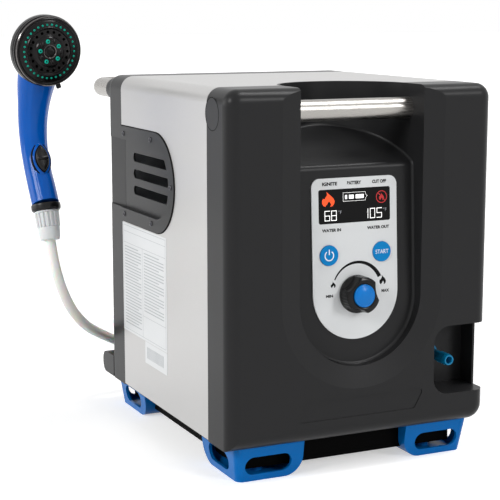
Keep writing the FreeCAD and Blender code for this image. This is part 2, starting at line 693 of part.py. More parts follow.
# ---------------------------------------------------------------- wrapper sheet and vent panels
def wrapper_sheet():
    """Folded sheet over both sides and the top, cut out round the grip pocket and at the vents."""
    owner = body("wrapper_sheet")
    inner, top_inner = half_width - s.sheet_thick, s.case_top - s.sheet_thick
    front, rear = -s.front_seam + s.seam_gap, s.rear_seam - s.seam_gap
    pad(owner, outline(owner, "XZ", [
        (-half_width, s.sheet_low), (-inner, s.sheet_low),
        (-inner, top_inner, s.case_round - s.sheet_thick),
        (inner, top_inner, s.case_round - s.sheet_thick), (inner, s.sheet_low), (half_width, s.sheet_low),
        (half_width, s.case_top, s.case_round), (-half_width, s.case_top, s.case_round)],
        offset=-rear), rear - front)
    pocket(owner, circles(owner, "XY", [(0, -s.pocket_centre, s.recess_half + s.wall + s.seam_gap)],
                          offset=s.case_top + 1), s.sheet_thick + 4)
    hole_half = s.vent_well + s.vent_skin + s.seam_gap
    pocket(owner, channel(owner, "YZ", hole_half, s.vent_y, s.rear_seam + 1, across=s.vent_z, along="x"),
           s.case_width + 2, both=True)
    rounds = [(y, z, s.vent_screw_in + s.fit_gap) for y, z in vent_screw_places()]
    rounds.append((-s.grip_y, grip_up, s.cap_half + s.fit_gap))
    pocket(owner, circles(owner, "YZ", rounds), s.case_width + 2, both=True)


def vent_screw_places():
    low, high = s.vent_z - s.screw_rise, s.vent_z + s.screw_rise
    return [(s.screw_rear, high), (s.screw_mid, high), (-s.screw_front, s.vent_z), (s.screw_rear, low),
            (s.screw_mid, low)]


def vent_panel(label):
    """D-shaped louvred panel on the left side: a flange outside the sheet and a sunk well."""
    owner = body(label)
    rear = s.rear_seam - s.seam_gap
    face = half_width + s.vent_proud
    pad(owner, channel(owner, "YZ", s.vent_half, s.vent_y, rear, across=s.vent_z, along="x",
                       offset=-face), s.vent_proud)
    pad(owner, channel(owner, "YZ", s.vent_well + s.vent_skin, s.vent_y, rear, across=s.vent_z, along="x",
                       offset=-face), s.vent_deep + s.vent_skin)
    pocket(owner, channel(owner, "YZ", s.vent_well, s.vent_y, s.rear_seam + 1, across=s.vent_z, along="x",
                          offset=-face - 1), s.vent_deep + 1, reverse=True)
    length = s.louvre_front + s.louvre_rear
    for step in (-1, 0, 1):
        slot = obround(owner, "YZ", (s.louvre_rear - s.louvre_front) / 2,
                       s.louvre_mid + step * s.louvre_pitch,
                       length, s.louvre_high, offset=-face - 1)
        pocket(owner, slot, s.vent_deep + s.vent_skin + 3, reverse=True)
    rounds = [(y, z, s.vent_screw_in + s.fit_gap) for y, z in vent_screw_places()]
    pocket(owner, circles(owner, "YZ", rounds,
                          offset=-face - 1), s.vent_proud + 2, reverse=True)
    return owner


def screw(label, head_half, head, shank_half, shank, x, y, z, facing):
    """Pan-head screw whose head sits on the face at (x, y, z)."""
    return turned(label, [(0, -shank), (shank_half, -shank), (shank_half, 0), (head_half, 0),
                          (head_half - 0.6, head), (0, head)], x, y, z, facing)


def vent_screws():
    heads = []
    for side, x, facing in (("left", -half_width - s.vent_proud, "-x"),
                            ("right", half_width + s.vent_proud, "+x")):
        for number, (y, z) in enumerate(vent_screw_places()):
            heads.append(screw(f"vent_screw_{side}_{number}", s.vent_screw_half, sized(1.2), s.vent_screw_in,
                               s.vent_proud + s.sheet_thick + 3, x, y, z, facing))
    group("vent_screws", heads)


def side_label():
    box("side_label", -half_width - s.label_thick, -half_width, -s.label_front, s.label_rear, s.label_low,
        s.label_top)


# ---------------------------------------------------------------- rear shell
def rear_block(name, inset, ahead=0):
    across, low, top = half_width - inset, s.shell_low + inset, s.case_top - inset
    block = extruded(name, lambda owner: outline(owner, "XZ", [
        (-across, low), (across, low), (across, top, s.case_round - inset),
        (-across, top, s.case_round - inset)], offset=-(s.rear_face - inset)),
        s.rear_face - s.rear_seam - inset + ahead)
    face = s.rear_face.value - sized(inset).value
    round_edges(block, s.rear_round - inset, lambda edge: near(edge.CenterOfMass.y, face)
                and edge.CenterOfMass.z > low.value + 1)
    return block


def scoop_cutter(name, grow=0):
    """Wedge that carries the vent well on to the rear edge, on the left side."""
    front = half_width - s.vent_deep + s.vent_proud - grow
    rear = half_width - s.scoop_deep - grow
    return extruded(name, lambda owner: outline(owner, "XY", [
        (-half_width - 1, s.rear_seam - 1), (-front, s.rear_seam - 1), (-rear, s.rear_face + 1),
        (-half_width - 1, s.rear_face + 1)], offset=s.scoop_low - grow),
        s.scoop_top - s.scoop_low + grow * 2)


def rear_lobe(name, inset):
    """Rounded bumper along the foot of the rear shell."""
    return extruded(name, lambda owner: outline(owner, "YZ", [
        (s.rear_face - s.wall - 1, s.shell_low + inset),
        (s.rear_face + s.lobe_out - inset, s.shell_low + inset, s.lobe_round - inset),
        (s.rear_face + s.lobe_out - inset, s.shell_low + s.lobe_high - inset, s.lobe_round - inset),
        (s.rear_face - s.wall - 1, s.shell_low + s.lobe_high - inset)]),
        s.case_width - sized(inset) * 2 - 1, both=True)


def rear_ports():
    """(name, x, z, radius) of each round hole through the rear face."""
    half = s.fitting_half + s.fit_gap
    return [("water_in", s.water_x, s.water_z, half), ("water_out", -s.water_x, s.water_z, half),
            ("gas_in", s.gas_x, s.water_z, s.fitting_half - 2 + s.fit_gap)]


def rear_shell():
    block = rear_block("rear_block", sized(0))
    skin = cut("rear_skin", block, rear_block("rear_space", s.wall, ahead=sized(1)))
    lobe = rear_lobe("lobe_outer", sized(0))
    vent_high = s.vent_half + s.seam_gap
    vent_gap = box("lip_gap", -half_width, half_width, s.rear_seam - s.lip_length - 1, s.rear_seam,
                   s.vent_z - vent_high, s.vent_z + vent_high)
    rear_lip = cut("rear_lip", lip("whole_lip", -s.rear_seam, s.lip_length), vent_gap)
    scoops, scoop_walls = [scoop_cutter("scoop_left")], [scoop_cutter("scoop_wall_left", s.wall)]
    scoops.append(mirrored("scoop_right", scoops[0], (1, 0, 0)))
    scoop_walls.append(mirrored("scoop_wall_right", scoop_walls[0], (1, 0, 0)))
    tubs = [common(f"scoop_tub_{number}", block, wall) for number, wall in enumerate(scoop_walls)]
    lugs, bores = [], []
    for side, x in (("left", -s.rear_grip_end), ("right", s.rear_grip_end)):
        start = s.rear_face - s.lug_in
        lugs.append(cylinder(f"lug_{side}", s.lug_half, s.lug_in + s.lug_out, x, start, rear_grip_up, "+y"))
        bores.append(cylinder(f"lug_bore_{side}", s.rear_grip_half + s.fit_gap, s.lug_in + s.lug_out + 2,
                              x, start - 1, rear_grip_up, "+y"))
    holes = [cylinder(f"{name}_hole", radius, s.wall + 4, x, s.rear_face - s.wall - 2, z, "+y")
             for name, x, z, radius in rear_ports()]
    port_gap = s.port_half + s.fit_gap
    port_hole = box("port_hole", s.port_x - port_gap, s.port_x + port_gap, s.rear_face - s.wall - 1,
                    s.rear_face + 1, s.port_z - s.port_high - s.fit_gap, s.port_z + s.port_high + s.fit_gap)
    holes += [cylinder(f"case_screw_hole_{number}", s.screw_shank + s.fit_gap, s.wall + 4, x,
                       s.rear_face - s.wall - 2, z, "+y")
              for number, (x, z) in enumerate(case_screw_places())]
    solid = fuse("rear_walls", skin, lobe, rear_lip, *tubs, *lugs)
    cut("rear_shell", solid, rear_lobe("lobe_inner", s.wall), *scoops, *bores, *holes, port_hole)


def case_screw_places():
    return [(x, z) for x in (-s.corner_screw_x, s.corner_screw_x)
            for z in (s.corner_screw_low, s.corner_screw_top)]


def case_screws():
    group("case_screws", [
        screw(f"case_screw_{number}", s.screw_half, s.screw_head, s.screw_shank, s.screw_long,
              x, s.rear_face, z, "+y") for number, (x, z) in enumerate(case_screw_places())])


def rear_handle():
    """Carry bar bent out of the rear shell and back."""
    centre = s.rear_grip_out - s.rear_grip_half
    start, end = s.rear_face - s.lug_in, s.rear_grip_end
    tube_along("rear_handle_tube", [(-end, start, rear_grip_up), (-end, centre, rear_grip_up),
                                    (end, centre, rear_grip_up), (end, start, rear_grip_up)],
               s.rear_grip_half, s.rear_grip_half - 1.5, s.rear_grip_bend)


def threaded_fitting(label, x, z, radius, bore):
    """Pipe fitting through the rear face, with a flange outside."""
    out = s.fitting_in + s.wall
    flange = radius + s.fitting_flange - s.fitting_half
    return turned(label, [
        (bore, 0), (radius, 0), (radius, out), (flange, out), (flange, out + s.fitting_flange_thick),
        (radius, out + s.fitting_flange_thick), (radius, out + s.fitting_out), (bore, out + s.fitting_out)],
        x, s.rear_face - out, z, "+y")


def rear_fittings():
    threaded_fitting("water_inlet", s.water_x, s.water_z, s.fitting_half, s.fitting_bore)
    threaded_fitting("water_outlet", -s.water_x, s.water_z, s.fitting_half, s.fitting_bore)
    threaded_fitting("gas_inlet", s.gas_x, s.water_z, s.fitting_half - 2, s.tube_bore)


def charge_port():
    """Charging socket flush in the rear face, and the hinged cover over it."""
    owner = body("charge_port")
    depth = s.port_deep + s.wall
    pad(owner, rectangle(owner, "XZ", s.port_x - s.port_half, s.port_x + s.port_half,
                         s.port_z - s.port_high, s.port_z + s.port_high,
                         offset=-(s.rear_face - s.wall - s.port_deep)), depth, reverse=True)
    pocket(owner, rectangle(owner, "XZ", s.port_x - s.port_half + 3, s.port_x + s.port_half - 3,
                            s.port_z - s.port_high + 3, s.port_z + s.port_high - 3, offset=-s.rear_face),
           s.port_deep - 2)
    doc.recompute()
    cover = body("port_cover")
    gap = s.seam_gap
    pad(cover, rectangle(cover, "XZ", s.port_x - s.port_half - s.cover_lip,
                         s.port_x + s.port_half + s.cover_lip,
                         s.port_z - s.port_high - s.cover_lip, s.port_z + s.port_high + s.cover_lip + 1,
                         offset=-(s.rear_face + gap)), s.cover_thick, reverse=True)
    hinge = cylinder("port_hinge", s.hinge_half, (s.port_half + s.cover_lip) * 2,
                     s.port_x - s.port_half - s.cover_lip, s.rear_face + gap + s.hinge_half,
                     s.port_z + s.port_high + s.cover_lip + 1, "+x")
    cover.Label = "port_cover_plate"
    fuse("port_cover", cover, hinge)


# ---------------------------------------------------------------- base pan and feet
def base_pan():
    """Tray under the case, with a flange that closes the gap to the wrapper's lower edges."""
    owner = body("base_pan")
    pad(owner, rectangle(owner, "XY", -s.pan_half, s.pan_half, -s.pan_front, s.pan_rear, offset=s.pan_low),
        s.shell_low - s.pan_low)
    pocket(owner, rectangle(owner, "XY", -s.pan_half + s.pan_wall, s.pan_half - s.pan_wall,
                            -s.pan_front + s.pan_wall, s.pan_rear - s.pan_wall, offset=s.shell_low),
                            s.shell_low
           - s.pan_low - s.pan_wall)
    edge = half_width - s.sheet_thick - s.seam_gap
    front, rear = s.front_seam - s.seam_gap, s.rear_seam - s.seam_gap
    pad(owner, rectangle(owner, "XY", -edge, edge, -front, rear, offset=s.shell_low), s.flange_thick)
    spots = [(x, y) for x in (-s.foot_boss_x, s.foot_boss_x) for y in (-s.foot_boss_y, s.foot_boss_y)]
    pocket(owner, circles(owner, "XY", [(x, y, s.foot_boss_bore) for x, y in spots],
                          offset=s.pan_low + s.pan_wall), s.pan_wall + 1)
    opening = s.pan_half - s.pan_wall - 14
    pocket(owner, rectangle(owner, "XY", -opening, opening, -front + 22, rear - 22,
                            offset=s.shell_low + s.flange_thick), s.flange_thick)
    for step in range(-3, 4):
        for y in (s.foot_mid - 12, s.foot_mid + 12):
            pocket(owner, obround(owner, "XY", step * 26, y, 12, 5, offset=s.pan_low + s.pan_wall), 6)


def foot_solid(name, inset, top):
    """Tapered block with rounded lower inner edges, for the front left foot."""
    front = extruded(f"{name}_front", lambda owner: outline(owner, "XZ", [
        (-s.foot_outer_low + inset, inset), (-s.foot_inner - inset, inset, s.foot_round - inset),
        (-s.foot_inner - inset, top), (-s.foot_outer_top + inset, top)], offset=0), s.foot_front_top + 10)
    side = extruded(f"{name}_side", lambda owner: outline(owner, "YZ", [
        (-s.foot_front_low + inset, inset), (-s.foot_back - inset, inset, s.foot_round - inset),
        (-s.foot_back - inset, top), (-s.foot_front_top + inset, top)], offset=-s.foot_outer_top - 10),
        s.foot_outer_top + 10)
    solid = common(f"{name}_solid", front, side)

    def corner(edge):
        spot = middle_of(edge)
        return spot.x < -s.foot_outer_low.value - 0.1 + sized(inset).value \
            and spot.y < -s.foot_front_low.value - 0.1 + sized(inset).value and edge.Length > 20
    return rounded(f"{name}_rounded", solid, s.foot_corner - inset, corner)


def feet():
    """Front left foot and its mirror images; the screw posts make one rectangle round the origin."""
    outside = foot_solid("foot_outside", sized(0), s.shell_low)
    inside = foot_solid("foot_inside", s.foot_wall, s.shell_low + 5)
    pan = box("foot_pan_space", -s.pan_half - s.seam_gap, 0, -s.pan_front - s.seam_gap, 0, s.pan_low,
              s.shell_low + 1)
    front_slot = extruded("foot_front_slot", lambda owner: obround(
        owner, "XZ", -s.slot_x, s.slot_z, s.slot_long, s.slot_high, offset=s.pan_front + 2), sized(30))
    side_slot = extruded("foot_side_slot", lambda owner: obround(
        owner, "YZ", -s.side_slot_y, s.slot_z, s.side_slot_long, s.slot_high,
        offset=-s.foot_outer_top - 10), sized(30))
    front = cut("foot_walls", outside, inside, pan, front_slot, side_slot)
    rear = mirrored("foot_rear_walls", front, (0, 1, 0), s.foot_mid)
    for name, walls, y in (("foot_front", front, -s.foot_boss_y), ("foot_rear", rear, s.foot_boss_y)):
        post = cylinder(f"{name}_post", s.foot_boss_half, s.pan_low - 1, -s.foot_boss_x, y, 1)
        hole = cylinder(f"{name}_hole", s.foot_boss_bore, s.pan_low + 2, -s.foot_boss_x, y, -1)
        left = cut(f"{name}_left", fuse(f"{name}_with_post", walls, post), hole)
        mirrored(f"{name}_right", left, (1, 0, 0))


# ---------------------------------------------------------------- control panel
def control_panel():
    """Fascia plate on the recess floor, with a round lower end."""
    owner = body("control_panel")
    low_round = s.panel_half - 0.2
    pad(owner, outline(owner, "XZ", [
        (-s.panel_half, -s.panel_down, low_round), (s.panel_half, -s.panel_down, low_round),
        (s.panel_half, s.panel_up, s.panel_round), (-s.panel_half, s.panel_up, s.panel_round)],
        offset=-s.panel_thick), s.panel_thick)
    hole = s.button_half + s.button_gap
    pocket(owner, circles(owner, "XZ", [
        (-s.button_x, s.button_up, hole), (s.button_x, s.button_up, hole),
        (0, s.knob_up, s.shaft_half + s.fit_gap)], offset=1), s.panel_thick + 3)
    pocket(owner, window_outline(owner, s.fit_gap, 1), s.panel_thick + 3)
    on_panel(owner)


def window_outline(owner, grow, offset):
    return rectangle(owner, "XZ", -s.window_half - grow, s.window_half + grow, s.window_low - grow,
                     s.window_low + s.window_high + grow, offset=offset)


def panel_display():
    """Window in the fascia, the display module behind it in the floor's opening, and the board."""
    on_panel(extruded("lcd_window", lambda owner: window_outline(owner, 0, -s.panel_thick),
                      s.panel_thick - s.window_sunk))
    module_back = s.panel_thick + s.module_thick
    on_panel(extruded("lcd_module", lambda owner: window_outline(owner, -s.module_margin, -module_back),
                      s.module_thick))
    on_panel(extruded("control_board", lambda owner: rectangle(
        owner, "XZ", -s.board_half, s.board_half, s.board_low, s.board_top,
        offset=-module_back - s.board_thick), s.board_thick))


def push_button(label, x):
    """Round cap in the fascia with a plunger through the floor to the board's switch."""
    owner = body(label)
    pad(owner, circles(owner, "XZ", [(x, s.button_up, s.button_half)],
                       offset=s.button_proud - s.button_thick),
        s.button_thick)
    rest_gap = s.button_travel + s.fit_gap * 4
    plunger = s.panel_thick + s.module_thick - rest_gap
    pad(owner, circles(owner, "XZ", [(x, s.button_up, s.button_stem)], offset=-plunger), plunger)
    on_panel(owner)


KNOB_REST = math.radians(12)  # where the first hollow points, at the knob's rest


def knob():
    """Knob with a hollow for each finger, its cap and the valve shaft, which turn together."""
    owner = body("knob_body")
    pad(owner, circles(owner, "XZ", [(0, s.knob_up, s.knob_half)], offset=s.knob_gap), s.knob_high)
    face = s.knob_gap + s.knob_high
    reach = s.knob_half + s.hollow_round - s.knob_hollow
    for number in range(SIZES["knob_hollows"]):
        turn = KNOB_REST + 2 * math.pi * number / SIZES["knob_hollows"]
        hollow = circles(owner, "XZ", [(reach * math.cos(turn), s.knob_up + reach * math.sin(turn),
                                        s.hollow_round)], offset=face + 1)
        pocket(owner, hollow, s.knob_high + 1 - s.knob_skirt)
    pocket(owner, circles(owner, "XZ", [(0, s.knob_up, s.cap_radius + s.fit_gap)], offset=face), s.cap_sunk)
    pocket(owner, circles(owner, "XZ", [(0, s.knob_up, s.shaft_half)], offset=s.knob_gap + s.shaft_in_knob),
           s.shaft_in_knob + 1)
    on_panel(owner)
    cap = body("knob_cap")
    pad(cap, circles(cap, "XZ", [(0, s.knob_up, s.cap_radius)], offset=face - s.cap_sunk), s.cap_high)
    top = (face - s.cap_sunk + s.cap_high).value
    round_edges(cap, sized(0.9), lambda edge: near(edge.CenterOfMass.y, -top))
    on_panel(cap)
    shaft_length = s.knob_gap + s.shaft_in_knob + s.panel_thick + s.wall + s.shaft_in_valve
    on_panel(extruded("knob_shaft", lambda owner: circles(
        owner, "XZ", [(0, s.knob_up, s.shaft_half)], offset=s.knob_gap + s.shaft_in_knob - shaft_length),
        shaft_length))


# ---------------------------------------------------------------- gas side
behind_floor = s.panel_thick + s.wall + s.fit_gap * 3


def gas_valve():
    """Valve block on the back of the recess floor, round the knob's shaft."""
    owner = body("gas_valve")
    front = behind_floor
    pad(owner, rectangle(owner, "XZ", -s.valve_half, s.valve_half, s.knob_up - s.valve_high / 2,
                         s.knob_up + s.valve_high / 2, offset=-front - s.valve_deep), s.valve_deep)
    pocket(owner, circles(owner, "XZ", [(0, s.knob_up, s.shaft_half + s.fit_gap)], offset=-front + 1),
           s.shaft_in_valve + 1.3)
    on_panel(owner)


valve_mid_y = behind_floor + s.valve_deep / 2 - s.panel_face + lean_slope * s.knob_up
valve_mid_z = panel_height + s.knob_up
valve_rear_y = valve_mid_y + s.valve_deep / 2 + 0.5


def gas_pipes():
    """Supply pipe from the rear inlet to the valve, and the valve's pipe to the burner manifold."""
    inner = s.rear_face - s.fitting_in - s.wall
    low = valve_mid_z - s.valve_high / 2 - 1.6
    turn_y = s.burner_rear + s.gas_turn
    supply = tube_along("supply_pipe", [
        (s.gas_x, inner, s.water_z), (s.gas_x, turn_y, s.water_z), (s.gas_x, turn_y, s.gas_run_z),
        (0, turn_y, s.gas_run_z), (0, valve_mid_y, s.gas_run_z), (0, valve_mid_y, low)],
        s.tube_half, s.tube_bore, s.pipe_bend)
    across, drop_y = s.valve_half / 2, s.pump_y + 12
    feed = tube_along("valve_pipe", [
        (across, valve_rear_y, valve_mid_z), (across, drop_y, valve_mid_z),
        (across, drop_y, s.manifold_z), (across, -s.manifold_half, s.manifold_z)],
        s.tube_half, s.tube_bore, s.pipe_bend)
    group("gas_pipes", [supply, feed])


def gas_manifold():
    """Closed tube along the burner's front, with a jet for each burner bar."""
    reach = s.jet_pitch * 2.5
    bar = cylinder("manifold_bar", s.manifold_half, reach * 2, -reach, 0, s.manifold_z, "+x")
    jets = [cylinder(f"jet_{number}", s.jet_half, s.burner_front, s.jet_pitch * (number - 2), 0,
                     s.manifold_z, "+y") for number in range(5)]
    fuse("gas_manifold", bar, *jets)


def burner_tray():
    """Open-topped tray between the frame's uprights, with five burner bars across it."""
    edge = s.upright - s.duct_gap
    tray = box("tray_outer", -edge, edge, s.burner_front, s.burner_rear, s.burner_low,
               s.burner_low + s.burner_high)
    space = box("tray_inner", -edge + s.duct_wall, edge - s.duct_wall, s.burner_front + s.duct_wall,
                s.burner_rear - s.duct_wall, s.burner_low + s.duct_wall, s.burner_low + s.burner_high + 1)
    hollow = cut("tray_hollow", tray, space)
    bars = [box(f"burner_bar_{number}", s.jet_pitch * (number - 2) - s.burner_bar_half,
                s.jet_pitch * (number - 2) + s.burner_bar_half, s.burner_front + 1, s.burner_rear - 1,
                s.burner_low + 1, s.burner_low + s.burner_high - 3) for number in range(5)]
    fuse("burner_tray", hollow, *bars)


# ---------------------------------------------------------------- heat exchanger and flue
chamber_low = s.burner_low + s.burner_high + s.duct_gap
fin_low = chamber_low + s.chamber_high + s.duct_gap
hood_low = fin_low + s.fin_high + s.duct_gap
coil_z = fin_low + s.fin_high / 2
frame_floor = s.shell_low + s.flange_thick


def chassis_frame():
    """Base plate on the pan's flange, with two uprights that carry the burner and heat exchanger."""
    plate = box("frame_plate", -s.frame_half, s.frame_half, -s.frame_front, s.frame_rear, frame_floor,
                frame_floor + s.frame_thick)
    uprights = [box(f"upright_{side}", low, low + s.frame_thick, s.upright_front, s.upright_rear,
                    frame_floor, s.upright_top)
                for side, low in (("left", -s.upright - s.frame_thick), ("right", s.upright))]
    holes = [cylinder(f"coil_hole_{number}", s.coil_half + s.fit_gap, (s.upright + 4) * 2,
                      -s.upright - 4, y, coil_z, "+x") for number, y in enumerate(coil_rows())]
    cut("chassis_frame", fuse("frame_solid", plate, *uprights), *holes)


def coil_rows():
    return [s.coil_front + s.coil_pitch * number for number in range(5)]


def combustion_chamber():
    edge = s.upright - s.duct_gap
    outside = box("chamber_outer", -edge, edge, s.duct_front, s.duct_rear, chamber_low,
                  chamber_low + s.chamber_high)
    inside = box("chamber_inner", -edge + s.duct_wall, edge - s.duct_wall, s.duct_front + s.duct_wall,
                 s.duct_rear - s.duct_wall, chamber_low - 1, chamber_low + s.chamber_high + 1)
    hole = cylinder("igniter_hole", s.igniter_half + s.fit_gap, 10, s.igniter_x, s.duct_front - 4,
                    chamber_low + s.igniter_up, "+y")
    cut("combustion_chamber", outside, inside, hole)
    turned("igniter_electrode", [
        (0, 0), (s.igniter_half, 0), (s.igniter_half, 20), (0.8, 20), (0.8, 34), (0, 34)],
        s.igniter_x, s.duct_front - 14, chamber_low + s.igniter_up, "+y")


def heat_exchanger():
    """Fins in a row, and the serpentine coil that passes through them."""
    first = -(s.fin_count - 1) * s.fin_pitch / 2
    fins = [box(f"fin_{number}", first + s.fin_pitch * number - s.fin_thick / 2,
                first + s.fin_pitch * number + s.fin_thick / 2, s.duct_front + 1, s.duct_rear - 1, fin_low,
                fin_low + s.fin_high) for number in range(SIZES["fin_count"])]
    holes = [cylinder(f"fin_hole_{number}", s.coil_half + s.fit_gap, s.upright * 2, -s.upright, y,
                      coil_z, "+x") for number, y in enumerate(coil_rows())]
    cut("heat_exchanger_fins", group("fin_row", fins), *holes)
    points = []
    for number, y in enumerate(coil_rows()):
        near_end = s.coil_end if number == 0 else s.coil_reach
        far_end = s.coil_end if number == 4 else s.coil_reach
        ends = [(near_end, y, coil_z), (-far_end, y, coil_z)]
        points += ends if number % 2 == 0 else [(-s.coil_reach, y, coil_z), (s.coil_reach, y, coil_z)]
    tube_along("heat_exchanger_coil", points, s.coil_half, s.coil_bore, s.coil_pitch / 2 - 0.01)


def flue_hood():
    """Duct that takes the hot gas up from the fins and out to the vents on both sides."""
    edge, front, rear = s.upright - s.duct_gap, s.duct_front, s.duct_rear
    wide_front, wide_rear, thick = front - s.hood_front, rear + s.hood_rear, s.duct_wall
    neck = box("hood_neck", -edge, edge, front, rear, hood_low, s.upright_top + 5)
    hood_half = half_width - s.hood_gap
    wide = box("hood_wide", -hood_half, hood_half, wide_front, wide_rear, s.upright_top, s.hood_top)
    neck_space = box("hood_neck_space", -edge + thick, edge - thick, front + thick, rear - thick,
                     hood_low - 1, s.upright_top + 6)
    wide_space = box("hood_wide_space", -hood_half - 1, hood_half + 1, wide_front + thick,
                     wide_rear - thick, s.upright_top + thick, s.hood_top - thick)
    cut("flue_hood", fuse("hood_solid", neck, wide), neck_space, wide_space)


# ---------------------------------------------------------------- water and power side
def water_pump():
    """Motor and square pump head, lying across the front of the base plate."""
    floor = frame_floor + s.frame_thick
    head = box("pump_head", s.pump_x + s.pump_long, s.pump_x + s.pump_long + s.pump_head,
               s.pump_y - s.pump_half, s.pump_y + s.pump_half, floor, floor + s.pump_half * 2 + 4)
    motor = cylinder("pump_motor", s.pump_half - 1, s.pump_long, s.pump_x, s.pump_y,
                     floor + s.pump_half + 2, "+x")
    fuse("water_pump", head, motor)


def water_pipes():
    """Pipes from the inlet through the flow sensor to the pump, up to the coil, and on to the outlet."""
    floor = frame_floor + s.frame_thick
    inner = s.rear_face - s.fitting_in - s.wall
    sensor_end = inner - s.sensor_long
    face = s.pump_x + s.pump_long + s.pump_head
    head_top = floor + s.pump_half * 2 + 4
    tube("flow_sensor", s.sensor_half, s.water_bore, s.sensor_long, s.water_x, inner, s.water_z, "-y")
    cold_y, low = s.duct_rear - s.cold_turn, floor + s.low_run
    tube_along("cold_pipe", [(s.water_x, sensor_end, s.water_z), (s.water_x, cold_y, s.water_z),
                             (s.water_x, cold_y, low), (s.water_x, s.pump_y, low),
                             (face, s.pump_y, low)], s.water_half, s.water_bore, s.pipe_bend)
    head_x, riser_z = face - s.pump_head / 2, head_top + s.riser_up
    tube_along("pump_pipe", [(head_x, s.pump_y, head_top), (head_x, s.pump_y, riser_z),
                             (riser_x, s.pump_y, riser_z), (riser_x, s.coil_front, riser_z),
                             (riser_x, s.coil_front, coil_z), (s.coil_end, s.coil_front, coil_z)],
               s.water_half, s.water_bore, s.pipe_bend)
    nozzle_end = -s.notch_back + s.wall + s.nozzle_inner
    drain_z, drain_y = head_top - 13, s.pump_y - s.pump_half + 8
    tube_along("drain_pipe", [(face, drain_y, drain_z), (s.nozzle_x, drain_y, drain_z),
                              (s.nozzle_x, drain_y, s.nozzle_z), (s.nozzle_x, nozzle_end, s.nozzle_z)],
               s.water_half, s.water_bore, s.pipe_bend - 2)
    last_row, hot_y = s.coil_front + s.coil_pitch * 4, inner - s.hot_turn
    tube_along("hot_pipe", [(-s.coil_end, last_row, coil_z), (-riser_x, last_row, coil_z),
                            (-riser_x, last_row, s.water_z), (-riser_x, hot_y, s.water_z),
                            (-s.water_x, hot_y, s.water_z), (-s.water_x, inner, s.water_z)],
               s.water_half, s.water_bore, s.pipe_bend - 0.2)


def battery():
    floor, half = frame_floor + s.frame_thick, s.battery_wide / 2
    box("battery_pack", s.battery_x - half, s.battery_x + half, s.battery_y - half, s.battery_y + half,
        floor, floor + s.battery_high)
    top = floor + s.battery_high + s.strap_thick
    outside = box("strap_outer", s.battery_x - half - s.strap_thick, s.battery_x + half + s.strap_thick,
                  s.battery_y - s.strap_wide / 2, s.battery_y + s.strap_wide / 2, floor, top)
    inside = box("strap_inner", s.battery_x - half, s.battery_x + half, s.battery_y - s.strap_wide,
                 s.battery_y + s.strap_wide, floor - 1, top - s.strap_thick)
    cut("battery_strap", outside, inside)
    box("ignition_module", s.spark_x - s.spark_wide / 2, s.spark_x + s.spark_wide / 2,
        s.spark_y - s.spark_wide / 2, s.spark_y + s.spark_wide / 2, floor, floor + s.spark_high)


# ---------------------------------------------------------------- hand shower
def on_shower(thing, back=0, up=0, turn=0):
    """Places a piece in the hand shower's own frame, turned about its sideways axis first."""
    whole = FreeCAD.Placement(
        FreeCAD.Vector(s.shower_x.value, s.shower_y.value, s.shower_z.value),
        FreeCAD.Rotation(FreeCAD.Vector(0, 0, 1), s.shower_turn.value))
    piece = FreeCAD.Placement(FreeCAD.Vector(0, sized(back).value, sized(up).value),
                              FreeCAD.Rotation(FreeCAD.Vector(1, 0, 0), turn))
    thing.Placement = whole.multiply(piece)
    return thing


face_turn = 90 + s.face_tilt.value
lower_turn = 180 - s.handle_lean.value
HANDLE_STATIONS = [  # (back, drop, radius) of the handle's centre line, from the head down
    (30, 12, 24), (44, 36, 21.5), (53, 60, 18.3), (57.5, 84, 16.6), (55, 110, 15.6), (45, 136, 15.3),
    (33.5, 156, 15.6), (24.5, 172, 15.6)]


def head_profile(inner):
    rim = s.face_half + s.face_gap
    return [(0, -s.head_back), (s.head_half * 0.45, -s.head_back), (s.head_half, -s.head_deep, 9),
            (s.head_half, -s.head_rim - 1, 1.2), (rim, -s.head_rim - 1), (rim, -s.face_sunk - 0.3),
            (inner, -s.face_sunk - 0.3), (inner, -s.head_back + 7), (0, -s.head_back + 7)]


def shower_head():
    """Round housing, and the turning spray face with its thumb tab."""
    on_shower(turned("handset_head", head_profile(s.spigot_half + s.fit_gap)), turn=face_turn)
    rim, spigot = s.face_half, s.spigot_half
    face = turned("spray_face_disc", [
        (0, 0), (rim * 0.35, -0.4), (rim, -s.face_dome - 0.4), (s.head_half - 1, -s.face_dome - 0.8),
        (s.head_half - 1, -s.head_rim - 0.7), (rim, -s.head_rim - 0.7), (rim, -s.face_sunk),
        (spigot, -s.face_sunk), (spigot, -s.head_back + 8), (0, -s.head_back + 8)])
    tab = body("spray_tab")
    pad(tab, rectangle(tab, "XY", s.head_half - 3, s.tab_reach, -s.tab_wide / 2, s.tab_wide / 2,
                       offset=-s.head_rim - 0.7), sized(2.2))
    tab.Placement = FreeCAD.Placement(FreeCAD.Vector(),
                                      FreeCAD.Rotation(FreeCAD.Vector(0, 0, 1), s.tab_turn.value))
    on_shower(fuse("spray_face", face, tab), turn=face_turn)


def path_loft(label, stations):
    """Loft through circles set square to a line of (back, drop, radius) stations."""
    sections = []
    for number, (back, drop, radius) in enumerate(stations):
        before, after = stations[max(number - 1, 0)], stations[min(number + 1, len(stations) - 1)]
        heading = math.degrees(math.atan2(after[0] - before[0], after[1] - before[1]))
        if after is stations[number]:
            heading = -s.handle_lean.value
        ring = new("Part::Circle", f"{label}_ring_{number}")
        ring.Radius = radius
        ring.Placement = FreeCAD.Placement(FreeCAD.Vector(0, back, -drop),
                                           FreeCAD.Rotation(FreeCAD.Vector(1, 0, 0), 180 + heading))
        sections.append(ring)
    loft = new("Part::Loft", label)
    loft.Sections = sections
    loft.Solid = True
    loft.Ruled = False
    doc.recompute()
    return loft


